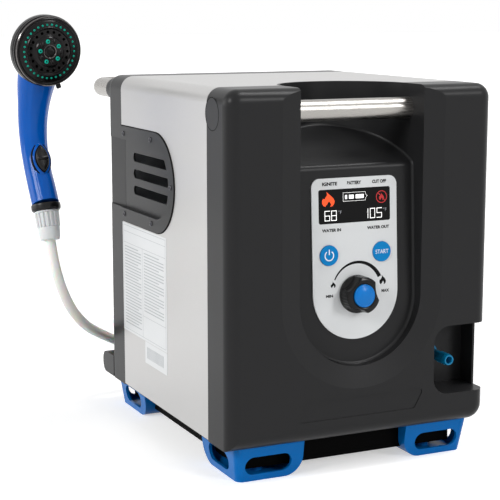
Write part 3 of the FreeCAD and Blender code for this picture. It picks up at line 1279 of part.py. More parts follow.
def switch_place(thing):
    """On the front of the handle: local Z out of the handle, X across it and Y up along it."""
    turn = FreeCAD.Rotation(FreeCAD.Vector(1, 0, 0), 90 - s.switch_lean.value)
    thing.Placement = FreeCAD.Placement(FreeCAD.Vector(0, s.switch_back.value, -s.switch_drop.value), turn)
    return thing


def handset_body():
    outer = path_loft("handle_outer", HANDLE_STATIONS)
    bore = path_loft("handle_bore", [(back, drop, s.handle_bore.value)
                                     for back, drop, radius in HANDLE_STATIONS[2:]])
    boss = body("switch_boss")
    length, wide = s.switch_long + s.switch_travel + 6, s.switch_wide + 6
    pad(boss, upright_obround(boss, length, wide, s.switch_boss), s.switch_boss - s.handle_bore - 2,
        reverse=True)
    pocket(boss, upright_obround(boss, s.switch_long / 2 + s.switch_travel, sized(5), s.switch_boss + 1),
           sized(5))
    switch_place(boss)
    head_space = turned("head_space", [
        (0, -s.head_back - 0.1), (s.head_half * 0.45, -s.head_back - 0.1),
        (s.head_half + 0.1, -s.head_deep, 9), (s.head_half + 0.1, 20), (0, 20)])
    head_space.Placement = FreeCAD.Placement(FreeCAD.Vector(),
                                             FreeCAD.Rotation(FreeCAD.Vector(1, 0, 0), face_turn))
    pocket_space = body("switch_slot")
    pad(pocket_space, upright_obround(pocket_space, s.switch_long / 2 + s.switch_travel, sized(5),
                                      s.switch_boss - 4), sized(6))
    switch_place(pocket_space)
    solid = fuse("handset_solid", outer, boss)
    on_shower(cut("handset_body", solid, bore, head_space, pocket_space))


def upright_obround(owner, length, wide, offset):
    """Obround whose long way is up the handle."""
    half, reach = wide / 2, length / 2
    return outline(owner, "XY", [(-half, -reach, half * 0.98), (half, -reach, half * 0.98),
                                 (half, reach, half * 0.98), (-half, reach, half * 0.98)], offset=offset)


def flow_switch():
    """Thumb slide on the handle, with a stem in the boss's slot."""
    owner = body("flow_switch")
    seat = s.switch_boss + s.fit_gap * 2
    pad(owner, upright_obround(owner, s.switch_long, s.switch_wide, seat), s.switch_high)
    pad(owner, upright_obround(owner, s.switch_long / 2, sized(4.9), seat), sized(3), reverse=True)
    switch_place(owner)
    shift = FreeCAD.Placement(FreeCAD.Vector(s.shower_x.value, s.shower_y.value, s.shower_z.value),
                              FreeCAD.Rotation(FreeCAD.Vector(0, 0, 1), s.shower_turn.value))
    owner.Placement = shift.multiply(owner.Placement)


def handle_end(label, profile, along):
    """Turned piece on the handle's lower axis, starting along millimetres below the handle's end."""
    lean_turn = math.radians(s.handle_lean.value)
    back = s.handle_end_back - along * math.sin(lean_turn)
    up = -s.handle_end_drop - along * math.cos(lean_turn)
    return on_shower(turned(label, profile), back, up, lower_turn)


def collar_and_nut():
    handle_end("handset_collar", [
        (s.handle_bore, 0), (s.collar_half, 0, 0.8), (s.collar_half, s.collar_high, 0.8),
        (s.handle_bore, s.collar_high)], s.collar_gap)
    closed = s.nut_high - s.hose_sunk
    handle_end("hose_nut", [
        (s.handle_bore - 4, 0), (s.nut_top_half, 0, 0.8), (s.nut_top_half, 9),
        (s.nut_low_half, s.nut_high, 0.8), (s.hose_half + 0.1, s.nut_high),
        (s.hose_half + 0.1, closed), (s.handle_bore - 4, closed)], s.collar_gap + s.collar_high)


# ---------------------------------------------------------------- hose
def hose_end():
    """Where the hose leaves the nut, and the direction it leaves in, in the whole frame."""
    lean_turn = math.radians(s.handle_lean.value)
    turn = FreeCAD.Rotation(FreeCAD.Vector(0, 0, 1), s.shower_turn.value)
    heading = turn.multVec(FreeCAD.Vector(0, -math.sin(lean_turn), -math.cos(lean_turn)))
    end = FreeCAD.Vector(0, s.handle_end_back.value, -s.handle_end_drop.value)
    base = FreeCAD.Vector(s.shower_x.value, s.shower_y.value, s.shower_z.value) + turn.multVec(end)
    return base + heading * (s.collar_gap + s.collar_high + s.nut_high).value, heading


def hose_radius(before, corner, after):
    """Arc at a route's point: as large as its two runs allow."""
    shorter = min((corner - before).Length, (after - corner).Length)
    half = (before - corner).getAngle(after - corner) / 2
    return 0.45 * shorter * math.tan(half)


def hose_run(label, points):
    vectors = [FreeCAD.Vector(*point) for point in points]
    path = rounded_wire(vectors, hose_radius)
    radii = [hose_radius(*corner) for corner in zip(vectors, vectors[1:], vectors[2:])]
    made = swept(label, path, s.hose_half, None)
    expected = math.pi * s.hose_half.value ** 2 * path.Length
    print(f"{label}: length {path.Length:.0f}, radii", [round(radius) for radius in radii],
          f"volume {made.Shape.Volume / expected:.3f} of section x length")
    return made


def hose():
    """Hose from the rear outlet to its coil on the ground, and from the coil to the hand shower."""
    nut_low, heading = hose_end()
    sunk = nut_low - heading * (s.hose_sunk.value - 0.3)
    hose_run("outlet_hose", OUTLET_ROUTE)
    hose_run("shower_hose", SHOWER_ROUTE + [tuple(sunk)])
    inner, outer = s.turn_half - s.turns_wide / 2, s.turn_half + s.turns_wide / 2
    turned("hose_coil", [(inner, 0, s.turns_round), (outer, 0, s.turns_round),
                         (outer, s.turns_high, s.turns_round), (inner, s.turns_high, s.turns_round)],
           s.turns_x, s.turns_y, sized(0))


def outlet_nut():
    """Union nut that holds the hose on the water outlet."""
    face = s.rear_face + s.fitting_flange_thick
    nut_end = s.outlet_nut_long
    inner_end = s.fitting_out - s.fitting_flange_thick + 0.3
    turned("outlet_nut", [
        (s.fitting_half + s.fit_gap, 0.3), (s.outlet_nut_half, 0.3), (s.outlet_nut_half, nut_end - 8, 1),
        (s.hose_half + 3, nut_end), (s.hose_half + 0.1, nut_end), (s.hose_half + 0.1, inner_end),
        (s.fitting_half + s.fit_gap, inner_end)],
        -s.water_x, face, s.water_z, "+y")


# ---------------------------------------------------------------- build, check and write
PIECES = [
    "front_shell", "front_handle_tube", "handle_caps", "drain_nozzle",
    "wrapper_sheet", "vent_panel_left", "vent_panel_right", "vent_screws", "side_label",
    "rear_shell", "rear_handle_tube", "case_screws", "water_inlet", "water_outlet", "gas_inlet",
    "charge_port", "port_cover", "base_pan", "foot_front_left", "foot_front_right",
    "foot_rear_left", "foot_rear_right", "control_panel", "lcd_window", "lcd_module",
    "control_board", "power_button", "start_button", "knob_body", "knob_cap", "knob_shaft",
    "gas_valve", "gas_pipes", "gas_manifold", "burner_tray", "chassis_frame",
    "combustion_chamber", "igniter_electrode", "heat_exchanger_fins", "heat_exchanger_coil",
    "flue_hood", "water_pump", "flow_sensor", "cold_pipe", "pump_pipe", "drain_pipe", "hot_pipe",
    "battery_pack", "battery_strap", "ignition_module", "handset_head", "spray_face",
    "handset_body", "flow_switch", "handset_collar", "hose_nut", "shower_hose", "hose_coil",
    "outlet_hose", "outlet_nut",
]


def build():
    front_shell()
    front_grip()
    drain_nozzle()
    wrapper_sheet()
    vent_panel("vent_panel_left")
    mirrored("vent_panel_right", doc.getObject("vent_panel_left"), (1, 0, 0))
    vent_screws()
    side_label()
    rear_shell()
    rear_handle()
    case_screws()
    rear_fittings()
    charge_port()
    base_pan()
    feet()
    control_panel()
    panel_display()
    push_button("power_button", -s.button_x)
    push_button("start_button", s.button_x)
    knob()
    gas_valve()
    gas_pipes()
    gas_manifold()
    burner_tray()
    chassis_frame()
    combustion_chamber()
    heat_exchanger()
    flue_hood()
    water_pump()
    water_pipes()
    battery()
    shower_head()
    handset_body()
    flow_switch()
    collar_and_nut()
    hose()
    outlet_nut()
    doc.recompute()


def check():
    """Every object is up to date, and every piece is a valid shape of closed solids."""
    failed = [item.Name for item in doc.Objects if {"Invalid", "Error"} & set(item.State)]
    shapes = {name: doc.getObject(name).Shape for name in PIECES}
    failed += [name for name, shape in shapes.items()
               if shape.isNull() or not shape.isValid() or not shape.Solids]
    if failed:
        raise RuntimeError(f"failed objects: {failed}")
    return shapes


def write(shapes):
    os.makedirs("parts", exist_ok=True)
    for name, shape in shapes.items():
        shape.exportStep(f"parts/{name}.step")


build()
write(check())
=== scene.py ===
# %% [markdown]
# # Portable gas water heater with a hand shower
# The heater is a plastic and sheet-metal case with two steel grips, four blue feet, louvred vents and a
# control panel, and a pale hose leads to its hand shower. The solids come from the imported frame, and this
# file gives them their finishes and adds the detail that solids alone don't show.

# %% Load the frame
import json
import math

import bmesh
import bpy
from mathutils import Matrix, Vector

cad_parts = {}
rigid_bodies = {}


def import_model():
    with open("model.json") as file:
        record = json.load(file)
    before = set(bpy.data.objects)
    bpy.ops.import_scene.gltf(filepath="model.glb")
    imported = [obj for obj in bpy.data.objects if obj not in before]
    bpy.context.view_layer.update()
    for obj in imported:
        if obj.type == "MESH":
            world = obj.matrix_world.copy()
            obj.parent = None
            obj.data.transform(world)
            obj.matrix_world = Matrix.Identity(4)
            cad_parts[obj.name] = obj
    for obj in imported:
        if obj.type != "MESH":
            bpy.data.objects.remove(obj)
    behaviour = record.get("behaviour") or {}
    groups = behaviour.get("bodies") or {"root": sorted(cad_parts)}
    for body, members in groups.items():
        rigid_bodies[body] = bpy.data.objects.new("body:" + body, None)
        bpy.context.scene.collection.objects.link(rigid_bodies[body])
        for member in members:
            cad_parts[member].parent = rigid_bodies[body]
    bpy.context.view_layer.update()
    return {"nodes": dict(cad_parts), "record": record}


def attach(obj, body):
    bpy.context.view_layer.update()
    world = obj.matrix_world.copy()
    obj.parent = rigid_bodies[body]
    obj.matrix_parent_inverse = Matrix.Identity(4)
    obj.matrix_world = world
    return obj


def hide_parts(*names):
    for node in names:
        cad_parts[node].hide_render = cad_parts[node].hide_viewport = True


MM = 0.001
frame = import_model()
nodes = frame["nodes"]

# %% [markdown]
# The camera comes first, because the hose is laid out for what it sees. It stands in front and to the left, a
# little above the case, and looks slightly down. A long lens keeps the case's upright edges nearly parallel.

# %% Camera
CAMERA_AT = (-0.699, -1.395, 0.472)
CAMERA_YAW, CAMERA_PITCH, LENS_MM = 25.04, 9.74, 102.4

camera_data = bpy.data.cameras.new("camera")
camera_data.lens, camera_data.sensor_width = LENS_MM, 36.0
camera = bpy.data.objects.new("camera", camera_data)
camera.location = CAMERA_AT
camera.rotation_euler = (math.radians(90 - CAMERA_PITCH), 0, math.radians(-CAMERA_YAW))
bpy.context.scene.collection.objects.link(camera)
bpy.context.scene.camera = camera
print("camera", CAMERA_AT, "lens", LENS_MM)

# %% [markdown]
# The hose is one plain tube of clear, milky PVC, 12 mm thick. It leaves the outlet behind the case, sinks to
# the ground, lies in a round coil of three and a half turns, and rises to the hand shower. A NURBS spline
# through a few listed points gives the free stretches, and a loop gives the coil's turns, so the
# whole hose is one smooth curve with a round bevel.

# %% Hose
HOSE_THICK, HOSE_LENGTH = 12 * MM, 2.0  # metres; the routes and the coil are in mm
OUTLET_ROUTE = [(-112, 188.5, 105), (-112, 222, 105), (-110, 254, 93), (-102, 283, 74), (-90, 311, 53),
                (-75, 336, 37), (-52, 355, 27.5)]
SHOWER_ROUTE = [(-42, 228.5, 25.5), (-68, 227, 35.5), (-92, 224, 48), (-114, 218.5, 60.5),
                (-134.4, 210.5, 71.3), (-157.3, 192, 84.4), (-180.3, 173, 99.5), (-201, 157, 121.5),
                (-214.8, 144.8, 144.5), (-224.2, 139.6, 169), (-228.7, 142.95, 196), (-229.3, 149.9, 218.6)]
COIL_CENTRE, COIL_RADIUS = (-16, 300), 66
COIL_TURNS, COIL_STEPS, COIL_START = 3.55, 16, 105  # turns, points in each, and the first one's angle
STRAND_REACH, STRAND_START = 8.6, 90  # each turn's distance from the bundle's middle, and its place at first


def coil_points():
    """Four strands round the bundle's middle: each turn moves a quarter of the way round it."""
    points = []
    for step in range(round(COIL_TURNS * COIL_STEPS)):
        turns = step / COIL_STEPS
        around = math.radians(COIL_START - 360 * turns)
        strand = math.radians(STRAND_START + 90 * turns)
        reach = COIL_RADIUS + STRAND_REACH * math.cos(strand)
        height = HOSE_THICK / MM / 2 + STRAND_REACH * (1 + math.sin(strand))
        points.append((COIL_CENTRE[0] + reach * math.cos(around), COIL_CENTRE[1] + reach * math.sin(around),
                       height))
    return points


def hose_curve(name, points, thick):
    """Round tube along a NURBS line through places in mm."""
    data = bpy.data.curves.new(name, "CURVE")
    data.dimensions, data.bevel_depth, data.bevel_resolution = "3D", 1.0, 6  # scaled by each point's radius
    data.resolution_u, data.use_fill_caps = 8, True
    spline = data.splines.new("NURBS")
    spline.points.add(len(points) - 1)
    for point, place in zip(spline.points, points):
        point.co = (*(Vector(place) * MM), 1)
        point.radius = thick / 2
    spline.order_u = 3
    spline.use_endpoint_u = True
    curve = bpy.data.objects.new(name, data)
    bpy.context.scene.collection.objects.link(curve)
    return curve


hose_points = OUTLET_ROUTE + coil_points() + SHOWER_ROUTE
hose = hose_curve("shower_hose_tube", hose_points, HOSE_THICK)
print("hose points", len(hose_points))

# %% [markdown]
# Colours are written as sRGB hex and turned into the linear values that shaders take. One function adds a
# shader node with its settings and its links, and one builds each finish: a Principled surface whose fine
# grain comes from noise in the object's own coordinates, scaled in millimetres.

# %% Finishes
def linear(hex_colour):
    """The linear colour of an sRGB one, with an alpha of one."""
    parts = [int(hex_colour[i:i + 2], 16) / 255 for i in (1, 3, 5)]
    return (*[c / 12.92 if c <= 0.04045 else ((c + 0.055) / 1.055) ** 2.4 for c in parts], 1)


def add_node(tree, kind, values=None, **settings):
    """A node with its settings; each value is a constant or the socket that feeds it."""
    node = tree.nodes.new(kind)
    for name, setting in settings.items():
        setattr(node, name, setting)
    for name, value in (values or {}).items():
        if isinstance(value, bpy.types.NodeSocket):
            tree.links.new(value, node.inputs[name])
        else:
            node.inputs[name].default_value = value
    return node


def finish(name, colour, rough, metal=0.0, grain=0.0, bump=0.0, spread=0.0, stretch=(1, 1, 1), **extra):
    """Surface of one colour; grain is its texture's size and bump that texture's height, both in mm."""
    made = bpy.data.materials.new(name)
    made.use_nodes = True
    made.diffuse_color = linear(colour)
    tree = made.node_tree
    shader = tree.nodes["Principled BSDF"]
    shader.inputs["Base Color"].default_value = linear(colour)
    shader.inputs["Roughness"].default_value = rough
    shader.inputs["Metallic"].default_value = metal
    for socket, value in extra.items():
        shader.inputs[socket.replace("_", " ").title().replace("Ior", "IOR")].default_value = value
    if grain:
        coords = add_node(tree, "ShaderNodeTexCoord").outputs["Object"]
        scaled = add_node(tree, "ShaderNodeMapping", {"Vector": coords, "Scale": stretch}).outputs["Vector"]
        noise = add_node(tree, "ShaderNodeTexNoise", {
            "Vector": scaled, "Scale": 1 / (grain * MM), "Detail": 3})
        if bump:
            height = add_node(tree, "ShaderNodeBump", {"Height": noise.outputs["Fac"], "Distance": bump * MM})
            tree.links.new(height.outputs["Normal"], shader.inputs["Normal"])
        if spread:
            varied = add_node(tree, "ShaderNodeMapRange", {
                "Value": noise.outputs["Fac"], "From Min": 0.3, "From Max": 0.7,
                "To Min": rough - spread, "To Max": rough + spread})
            tree.links.new(varied.outputs["Result"], shader.inputs["Roughness"])
    return made


def glow(name, colour, strength):
    """Lit segment of a display: a finish that gives light of its own colour."""
    made = finish(name, colour, 0.4)
    shader = made.node_tree.nodes["Principled BSDF"]
    shader.inputs["Emission Color"].default_value = linear(colour)
    shader.inputs["Emission Strength"].default_value = strength
    return made


ALONG_X = (0.02, 1, 1)  # stretches a texture along X
slots = {
    # ABS, injection moulded in a fine-etched tool: dark, with a broad, soft sheen at a flat angle
    "case_plastic": finish("case_abs", "#202021", 0.34, grain=0.5, bump=0.02, specular_ior_level=0.16),
    # deep-drawn steel, powder coated black, with a slight orange-peel skin; its colour and shine are set
    # darker than the coating's own, as painted shade for the shadow under the case
    "pan_steel": finish("black_steel_with_painted_shade", "#050505", 0.6, grain=2, bump=0.03, specular_ior_level=0.02),
    # aluminium sheet, bent and lacquered: pale, with a faint lengthwise grain and soft reflections
    "case_sheet": finish("lacquered_aluminium", "#bbbab9", 0.34, metal=0.45, grain=0.4, spread=0.05,
                         stretch=(1, 0.05, 1)),
    # stainless steel tube, brushed along its length: bright lines that follow the tube
    "grip_steel": finish("brushed_stainless", "#a19e9a", 0.3, metal=1.0, grain=0.35, bump=0.01, spread=0.1,
                         stretch=ALONG_X),
    # polypropylene, moulded: saturated blue with a satin skin
    "blue_plastic": finish("blue_polypropylene", "#067aa8", 0.3, grain=0.6, bump=0.01,
                           specular_ior_level=0.3),
    # steel screws, zinc plated black: dark metal with a thin glint on their edges
    "screw_steel": finish("black_zinc_steel", "#4b4b4e", 0.35, metal=1.0, grain=0.3, spread=0.08),
    # polyester film, printed and stuck on: flat white with a slight gloss
    "label_film": finish("label_polyester", "#d2d4d5", 0.35),
    # brass, turned and left bare: warm yellow metal with fine turning marks
    "fitting_brass": finish("turned_brass", "#b58d4f", 0.28, metal=1.0, grain=0.25, spread=0.08),
    # ABS, moulded against a plain tool: black with a satin skin
    "black_plastic": finish("black_abs", "#0e0e0f", 0.3, grain=0.4, bump=0.01, specular_ior_level=0.25),
    # silicone rubber, moulded: black and nearly without shine
    "black_rubber": finish("black_silicone", "#080808", 0.75, grain=0.8, bump=0.02, specular_ior_level=0.1),
    # polypropylene, moulded: bright blue feet, softly shining on their rounded edges
    "foot_plastic": finish("blue_foot_polypropylene", "#0168b4", 0.26, grain=0.7, bump=0.012,
                           specular_ior_level=0.1),
    # polycarbonate film, screen printed from behind: silver-white and smooth
    "panel_film": finish("fascia_polycarbonate", "#dadcdd", 0.38, grain=0.5, spread=0.04),
    # acrylic window, cast: black and mirror smooth
    "display_window": finish("window_acrylic", "#040405", 0.08, specular_ior_level=0.12),
    # glass-fibre laminate under a green solder mask
    "circuit_board": finish("solder_mask_green", "#14532c", 0.4, grain=1.5, spread=0.05),
    # ABS button caps, moulded: flat blue
    "button_plastic": finish("button_abs", "#0580c4", 0.3, specular_ior_level=0.12),
    # phenolic knob, moulded and tumbled: deep black, with shine only where it turns to the light
    "knob_plastic": finish("knob_phenolic", "#0c0b0b", 0.2, grain=0.5, bump=0.006, specular_ior_level=0.2),
    # acrylic cap, moulded: glossy blue with a clear highlight
    "knob_cap_plastic": finish("cap_acrylic", "#0474c6", 0.22, specular_ior_level=0.2),
    # steel shaft, ground bright
    "bright_steel": finish("ground_steel", "#b9b9bc", 0.22, metal=1.0, grain=0.2, spread=0.06),
    # aluminium, die cast: grey and slightly rough
    "valve_aluminium": finish("cast_aluminium", "#a9aaad", 0.5, metal=1.0, grain=0.9, bump=0.03, spread=0.1),
    # copper tube, drawn and a little oxidised: warm red with darker patches
    "pipe_copper": finish("drawn_copper", "#b4704a", 0.32, metal=1.0, grain=6, spread=0.12),
    # steel sheet, galvanised: mottled grey
    "inner_steel": finish("galvanised_steel", "#9a9c9f", 0.42, metal=1.0, grain=7, spread=0.12),
    # steatite, fired: off-white and dull
    "electrode_ceramic": finish("steatite", "#dcd8cc", 0.5),
    # ABS, moulded and polished: deep blue with mirror-like streaks of light
    "handset_plastic": finish("handset_abs", "#0156b2", 0.1, specular_ior_level=0.15),
    # ABS, moulded and chrome-free: glossy near-black
    "spray_plastic": finish("spray_abs", "#0a0809", 0.14, specular_ior_level=0.2),
    # polypropylene, moulded: white with a soft shine
    "nut_plastic": finish("white_polypropylene", "#dfe1e2", 0.35, subsurface_weight=0.15,
                          subsurface_scale=0.002),
    # soft PVC, extruded: milky, lets some light through, a broad soft shine
    "hose_plastic": finish("milky_pvc", "#f5f4ef", 0.32, subsurface_weight=0.6, subsurface_scale=0.003),
}
for record_part in frame["record"]["subparts"]:
    data = nodes[record_part["node"]].data
    data.materials.clear()
    data.materials.append(slots[record_part["material_slot"]])
print("finishes", len(slots))

# %% [markdown]
# The room is white wherever the camera looks and wherever a shiny surface reflects it, while it lights the
# object only softly. Four suns do the rest: the strongest from the left, one high on the right that brightens
# the rounded upper edges, a weaker one from the front right, and a broad, low one from the back left for the
# sheen of the left side. The floor adds a little light of its own, so it stays white outside the shadow.

# %% Room and lamps
scene = bpy.context.scene
scene.view_settings.view_transform = "Standard"


def seen_rays(tree):
    """One where a camera, glossy or transmission ray looks, and zero for the light on the object."""
    path = add_node(tree, "ShaderNodeLightPath")
    rays = [path.outputs[f"Is {kind} Ray"] for kind in ("Camera", "Glossy", "Transmission")]
    either = add_node(tree, "ShaderNodeMath", {0: rays[0], 1: rays[1]}, operation="MAXIMUM")
    seen = add_node(tree, "ShaderNodeMath", {0: either.outputs[0], 1: rays[2]}, operation="MAXIMUM")
    return seen.outputs[0]


world = bpy.data.worlds.new("white_room")
scene.world = world
world.use_nodes = True
sky = world.node_tree
ROOM_LIGHT, ROOM_SEEN, FLOOR_GLOW = 0.32, 1.0, 0.5  # strengths on the object, to the eye, and of the floor
level = add_node(sky, "ShaderNodeMapRange", {
    "Value": seen_rays(sky), "To Min": ROOM_LIGHT, "To Max": ROOM_SEEN})
background = sky.nodes["Background"]
background.inputs["Color"].default_value = (1, 1, 1, 1)
sky.links.new(level.outputs["Result"], background.inputs["Strength"])

floor_paint = finish("studio_floor", "#e6e6e6", 0.9, specular_ior_level=0.0)
floor_tree = floor_paint.node_tree
floor_glow = add_node(floor_tree, "ShaderNodeMath", {0: seen_rays(floor_tree), 1: FLOOR_GLOW},
                      operation="MULTIPLY")
floor_shader = floor_tree.nodes["Principled BSDF"]
floor_shader.inputs["Emission Color"].default_value = (1, 1, 1, 1)
floor_tree.links.new(floor_glow.outputs[0], floor_shader.inputs["Emission Strength"])

FLOOR_HALF = 20  # metres, so that its edge is never seen
floor_data = bpy.data.meshes.new("floor")
floor_data.from_pydata([(-FLOOR_HALF, -FLOOR_HALF, 0), (FLOOR_HALF, -FLOOR_HALF, 0),
                        (FLOOR_HALF, FLOOR_HALF, 0), (-FLOOR_HALF, FLOOR_HALF, 0)], [], [(0, 1, 2, 3)])
floor_data.materials.append(floor_paint)
floor = bpy.data.objects.new("floor", floor_data)
scene.collection.objects.link(floor)

for name, towards, strength, angle in [
        ("left", (-0.85, -0.25, 0.5), 1.5, 20), ("above", (0.45, -0.1, 0.88), 1.2, 18),
        ("front_right", (0.45, -0.8, 0.4), 0.9, 16), ("back_left", (-0.85, 0.5, 0.15), 1.1, 40)]:
    lamp_data = bpy.data.lights.new(name, "SUN")
    lamp_data.energy, lamp_data.angle = strength, math.radians(angle)
    lamp = bpy.data.objects.new(name, lamp_data)
    lamp.rotation_euler = Vector(towards).to_track_quat("Z", "Y").to_euler()
    scene.collection.objects.link(lamp)
print("lamps", [light.name for light in bpy.data.lights])

# %% [markdown]
# Shapes are drawn in millimetres in a frame of their own and then set in place: one frame for the control
# panel, which leans back a little, one for the left side, and four for the hand shower. Turned pieces come
# from a profile of radius and height, flat ones from an outline, and both get rounded corners the same way.

# %% Shapes and places
LEAN = math.atan2(9, 170)
PANEL = Matrix.Translation((0, -152, 212)) @ Matrix.Rotation(math.pi / 2 - LEAN, 4, "X")
LEFT_SIDE = Matrix(((0, 0, -1, -150), (-1, 0, 0, 0), (0, 1, 0, 0), (0, 0, 0, 1)))
HANDSET = Matrix.Translation((-228, 135, 422)) @ Matrix.Rotation(math.radians(5), 4, "Z")
FACE = HANDSET @ Matrix.Rotation(math.radians(95), 4, "X")
HANDLE_END = HANDSET @ Matrix.Translation((0, 24.5, -172)) @ Matrix.Rotation(math.radians(163), 4, "X")
SWITCH = HANDSET @ Matrix.Translation((0, 47.5, -128)) @ Matrix.Rotation(math.radians(67.5), 4, "X")
DRAIN = Matrix.Translation((107, -125, 104.5)) @ Matrix.Rotation(math.radians(90), 4, "X")
BACKWARDS = Matrix.Rotation(-math.pi / 2, 4, "X")  # turns Z to the rear
FITTINGS_UP = 105  # height of the rear fittings, mm


def softened(points, steps=4, closed=False):
    """Points (x, y) as they are, and points (x, y, radius) rounded by that radius."""
    made = []
    for number, (x, y, *radius) in enumerate(points):
        here = Vector((x, y))
        if not radius or (not closed and number in (0, len(points) - 1)):
            made.append(here)
            continue
        back = Vector(points[number - 1][:2]) - here
        onward = Vector(points[(number + 1) % len(points)][:2]) - here
        reach = radius[0] / math.tan(back.angle(onward) / 2)
        reach = min(reach, 0.49 * back.length, 0.49 * onward.length)
        for step in range(steps + 1):
            t = step / steps
            made.append(here + back.normalized() * reach * (1 - t) ** 2
                        + onward.normalized() * reach * t ** 2)
    return made


def skin(shape, rings):
    """Faces between closed rings that follow each other; a ring of one point is a tip."""
    for low, high in zip(rings, rings[1:]):
        steps = max(len(low), len(high))
        for step in range(steps):
            on = (step + 1) % steps
            corners = [low[step % len(low)], low[on % len(low)], high[on % len(high)], high[step % len(high)]]
            corners = [c for number, c in enumerate(corners) if c not in corners[:number]]
            if len(corners) > 2:
                shape.faces.new(corners)


def turned(profile, steps=96):
    """Surface of revolution about Z over (radius, height) points."""
    shape = bmesh.new()
    rings = []
    for radius, height in softened(profile):
        if radius < 1e-6:
            rings.append([shape.verts.new((0, 0, height))])
            continue
        angles = [2 * math.pi * step / steps for step in range(steps)]
        rings.append([shape.verts.new((radius * math.cos(a), radius * math.sin(a), height)) for a in angles])
    skin(shape, rings)
    return shape


def plate(outline, low, high, shape=None):
    """Flat piece over an outline, with its upper face and its sides."""
    shape = shape or bmesh.new()
    points = softened(outline, closed=True)
    lower = [shape.verts.new((*point, low)) for point in points]
    upper = [shape.verts.new((*point, high)) for point in points]
    shape.faces.new(upper)
    skin(shape, [lower, upper])
    return shape


def box_outline(left, right, low, high, radius=None):
    """Four corners, rounded when there is a radius."""
    corners = [(left, low), (right, low), (right, high), (left, high)]
    return [(*corner, radius) for corner in corners] if radius else corners


def arc(centre, radius, start=0.0, end=360.0, steps=64):
    """Points along an arc; a pair of radii makes it widen or narrow on its way."""
    first, last = radius if isinstance(radius, tuple) else (radius, radius)
    made = []
    for step in range(steps + 1):
        t = step / steps
        angle = math.radians(start + (end - start) * t)
        reach = first + (last - first) * t
        made.append((centre[0] + reach * math.cos(angle), centre[1] + reach * math.sin(angle)))
    return made


def ring_outline(centre, inner, outer, start=0.0, end=360.0):
    """Band between two arcs."""
    return arc(centre, inner, start, end) + arc(centre, outer, start, end)[::-1]


def words(text, left, right, low, high, lift, shape=None, weight=0.0):
    """Lettering as a flat mesh, fitted between the given edges; weight makes its strokes bolder."""
    shape = shape or bmesh.new()
    curve = bpy.data.curves.new("lettering", "FONT")
    curve.body, curve.offset = text, weight
    written = bpy.data.objects.new("lettering", curve)
    scene.collection.objects.link(written)
    flat = bpy.data.meshes.new_from_object(written.evaluated_get(bpy.context.evaluated_depsgraph_get()))
    xs, ys = [v.co.x for v in flat.vertices], [v.co.y for v in flat.vertices]
    for vertex in flat.vertices:
        vertex.co = (left + (vertex.co.x - min(xs)) / (max(xs) - min(xs)) * (right - left),
                     low + (vertex.co.y - min(ys)) / (max(ys) - min(ys)) * (high - low), lift)
    shape.from_mesh(flat)
    for data in (written, curve, flat):
        bpy.data.batch_remove([data])
    return shape


def piece(name, shape, place, material, body="case", angle=35):
    """A shape in mm set in its place, in one finish, that moves with one body."""
    shape.transform(Matrix.Scale(MM, 4) @ place)
    bmesh.ops.recalc_face_normals(shape, faces=shape.faces)
    data = bpy.data.meshes.new(name)
    shape.to_mesh(data)
    shape.free()
    data.shade_smooth()
    data.set_sharp_from_angle(angle=math.radians(angle))
    data.materials.append(material)
    made = bpy.data.objects.new(name, data)
    scene.collection.objects.link(made)
    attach(made, body)
    return made


print("panel leans", round(math.degrees(LEAN), 1), "degrees")

# %% [markdown]
# Screws, nozzles and ribs repeat, so each is drawn once and a small Geometry Nodes tree copies it. The tree
# takes points, sets a copy on each, turned as the point's own attribute says, and joins them into one mesh.

# %% Copying with Geometry Nodes
def copy_tree():
    """Copies of a sample on a mesh's points, each turned by the point's own 'turn' attribute."""
    tree = bpy.data.node_groups.new("copies", "GeometryNodeTree")
    sides = {"INPUT": [("Places", "NodeSocketGeometry"), ("Sample", "NodeSocketObject"),
                       ("Material", "NodeSocketMaterial")], "OUTPUT": [("Copies", "NodeSocketGeometry")]}
    for side, sockets in sides.items():
        for name, kind in sockets:
            tree.interface.new_socket(name, in_out=side, socket_type=kind)
    given = add_node(tree, "NodeGroupInput").outputs
    turn = add_node(tree, "GeometryNodeInputNamedAttribute", {"Name": "turn"}, data_type="FLOAT_VECTOR")
    rotation = add_node(tree, "FunctionNodeEulerToRotation", {"Euler": turn.outputs["Attribute"]})
    sample = add_node(tree, "GeometryNodeObjectInfo", {"Object": given["Sample"]})
    copies = add_node(tree, "GeometryNodeInstanceOnPoints", {
        "Points": given["Places"], "Instance": sample.outputs["Geometry"], "Rotation": rotation.outputs[0]})
    real = add_node(tree, "GeometryNodeRealizeInstances", {"Geometry": copies.outputs[0]})
    painted = add_node(tree, "GeometryNodeSetMaterial", {"Geometry": real.outputs[0],
                                                         "Material": given["Material"]})
    add_node(tree, "NodeGroupOutput", {"Copies": painted.outputs[0]})
    return tree


COPY_TREE = copy_tree()


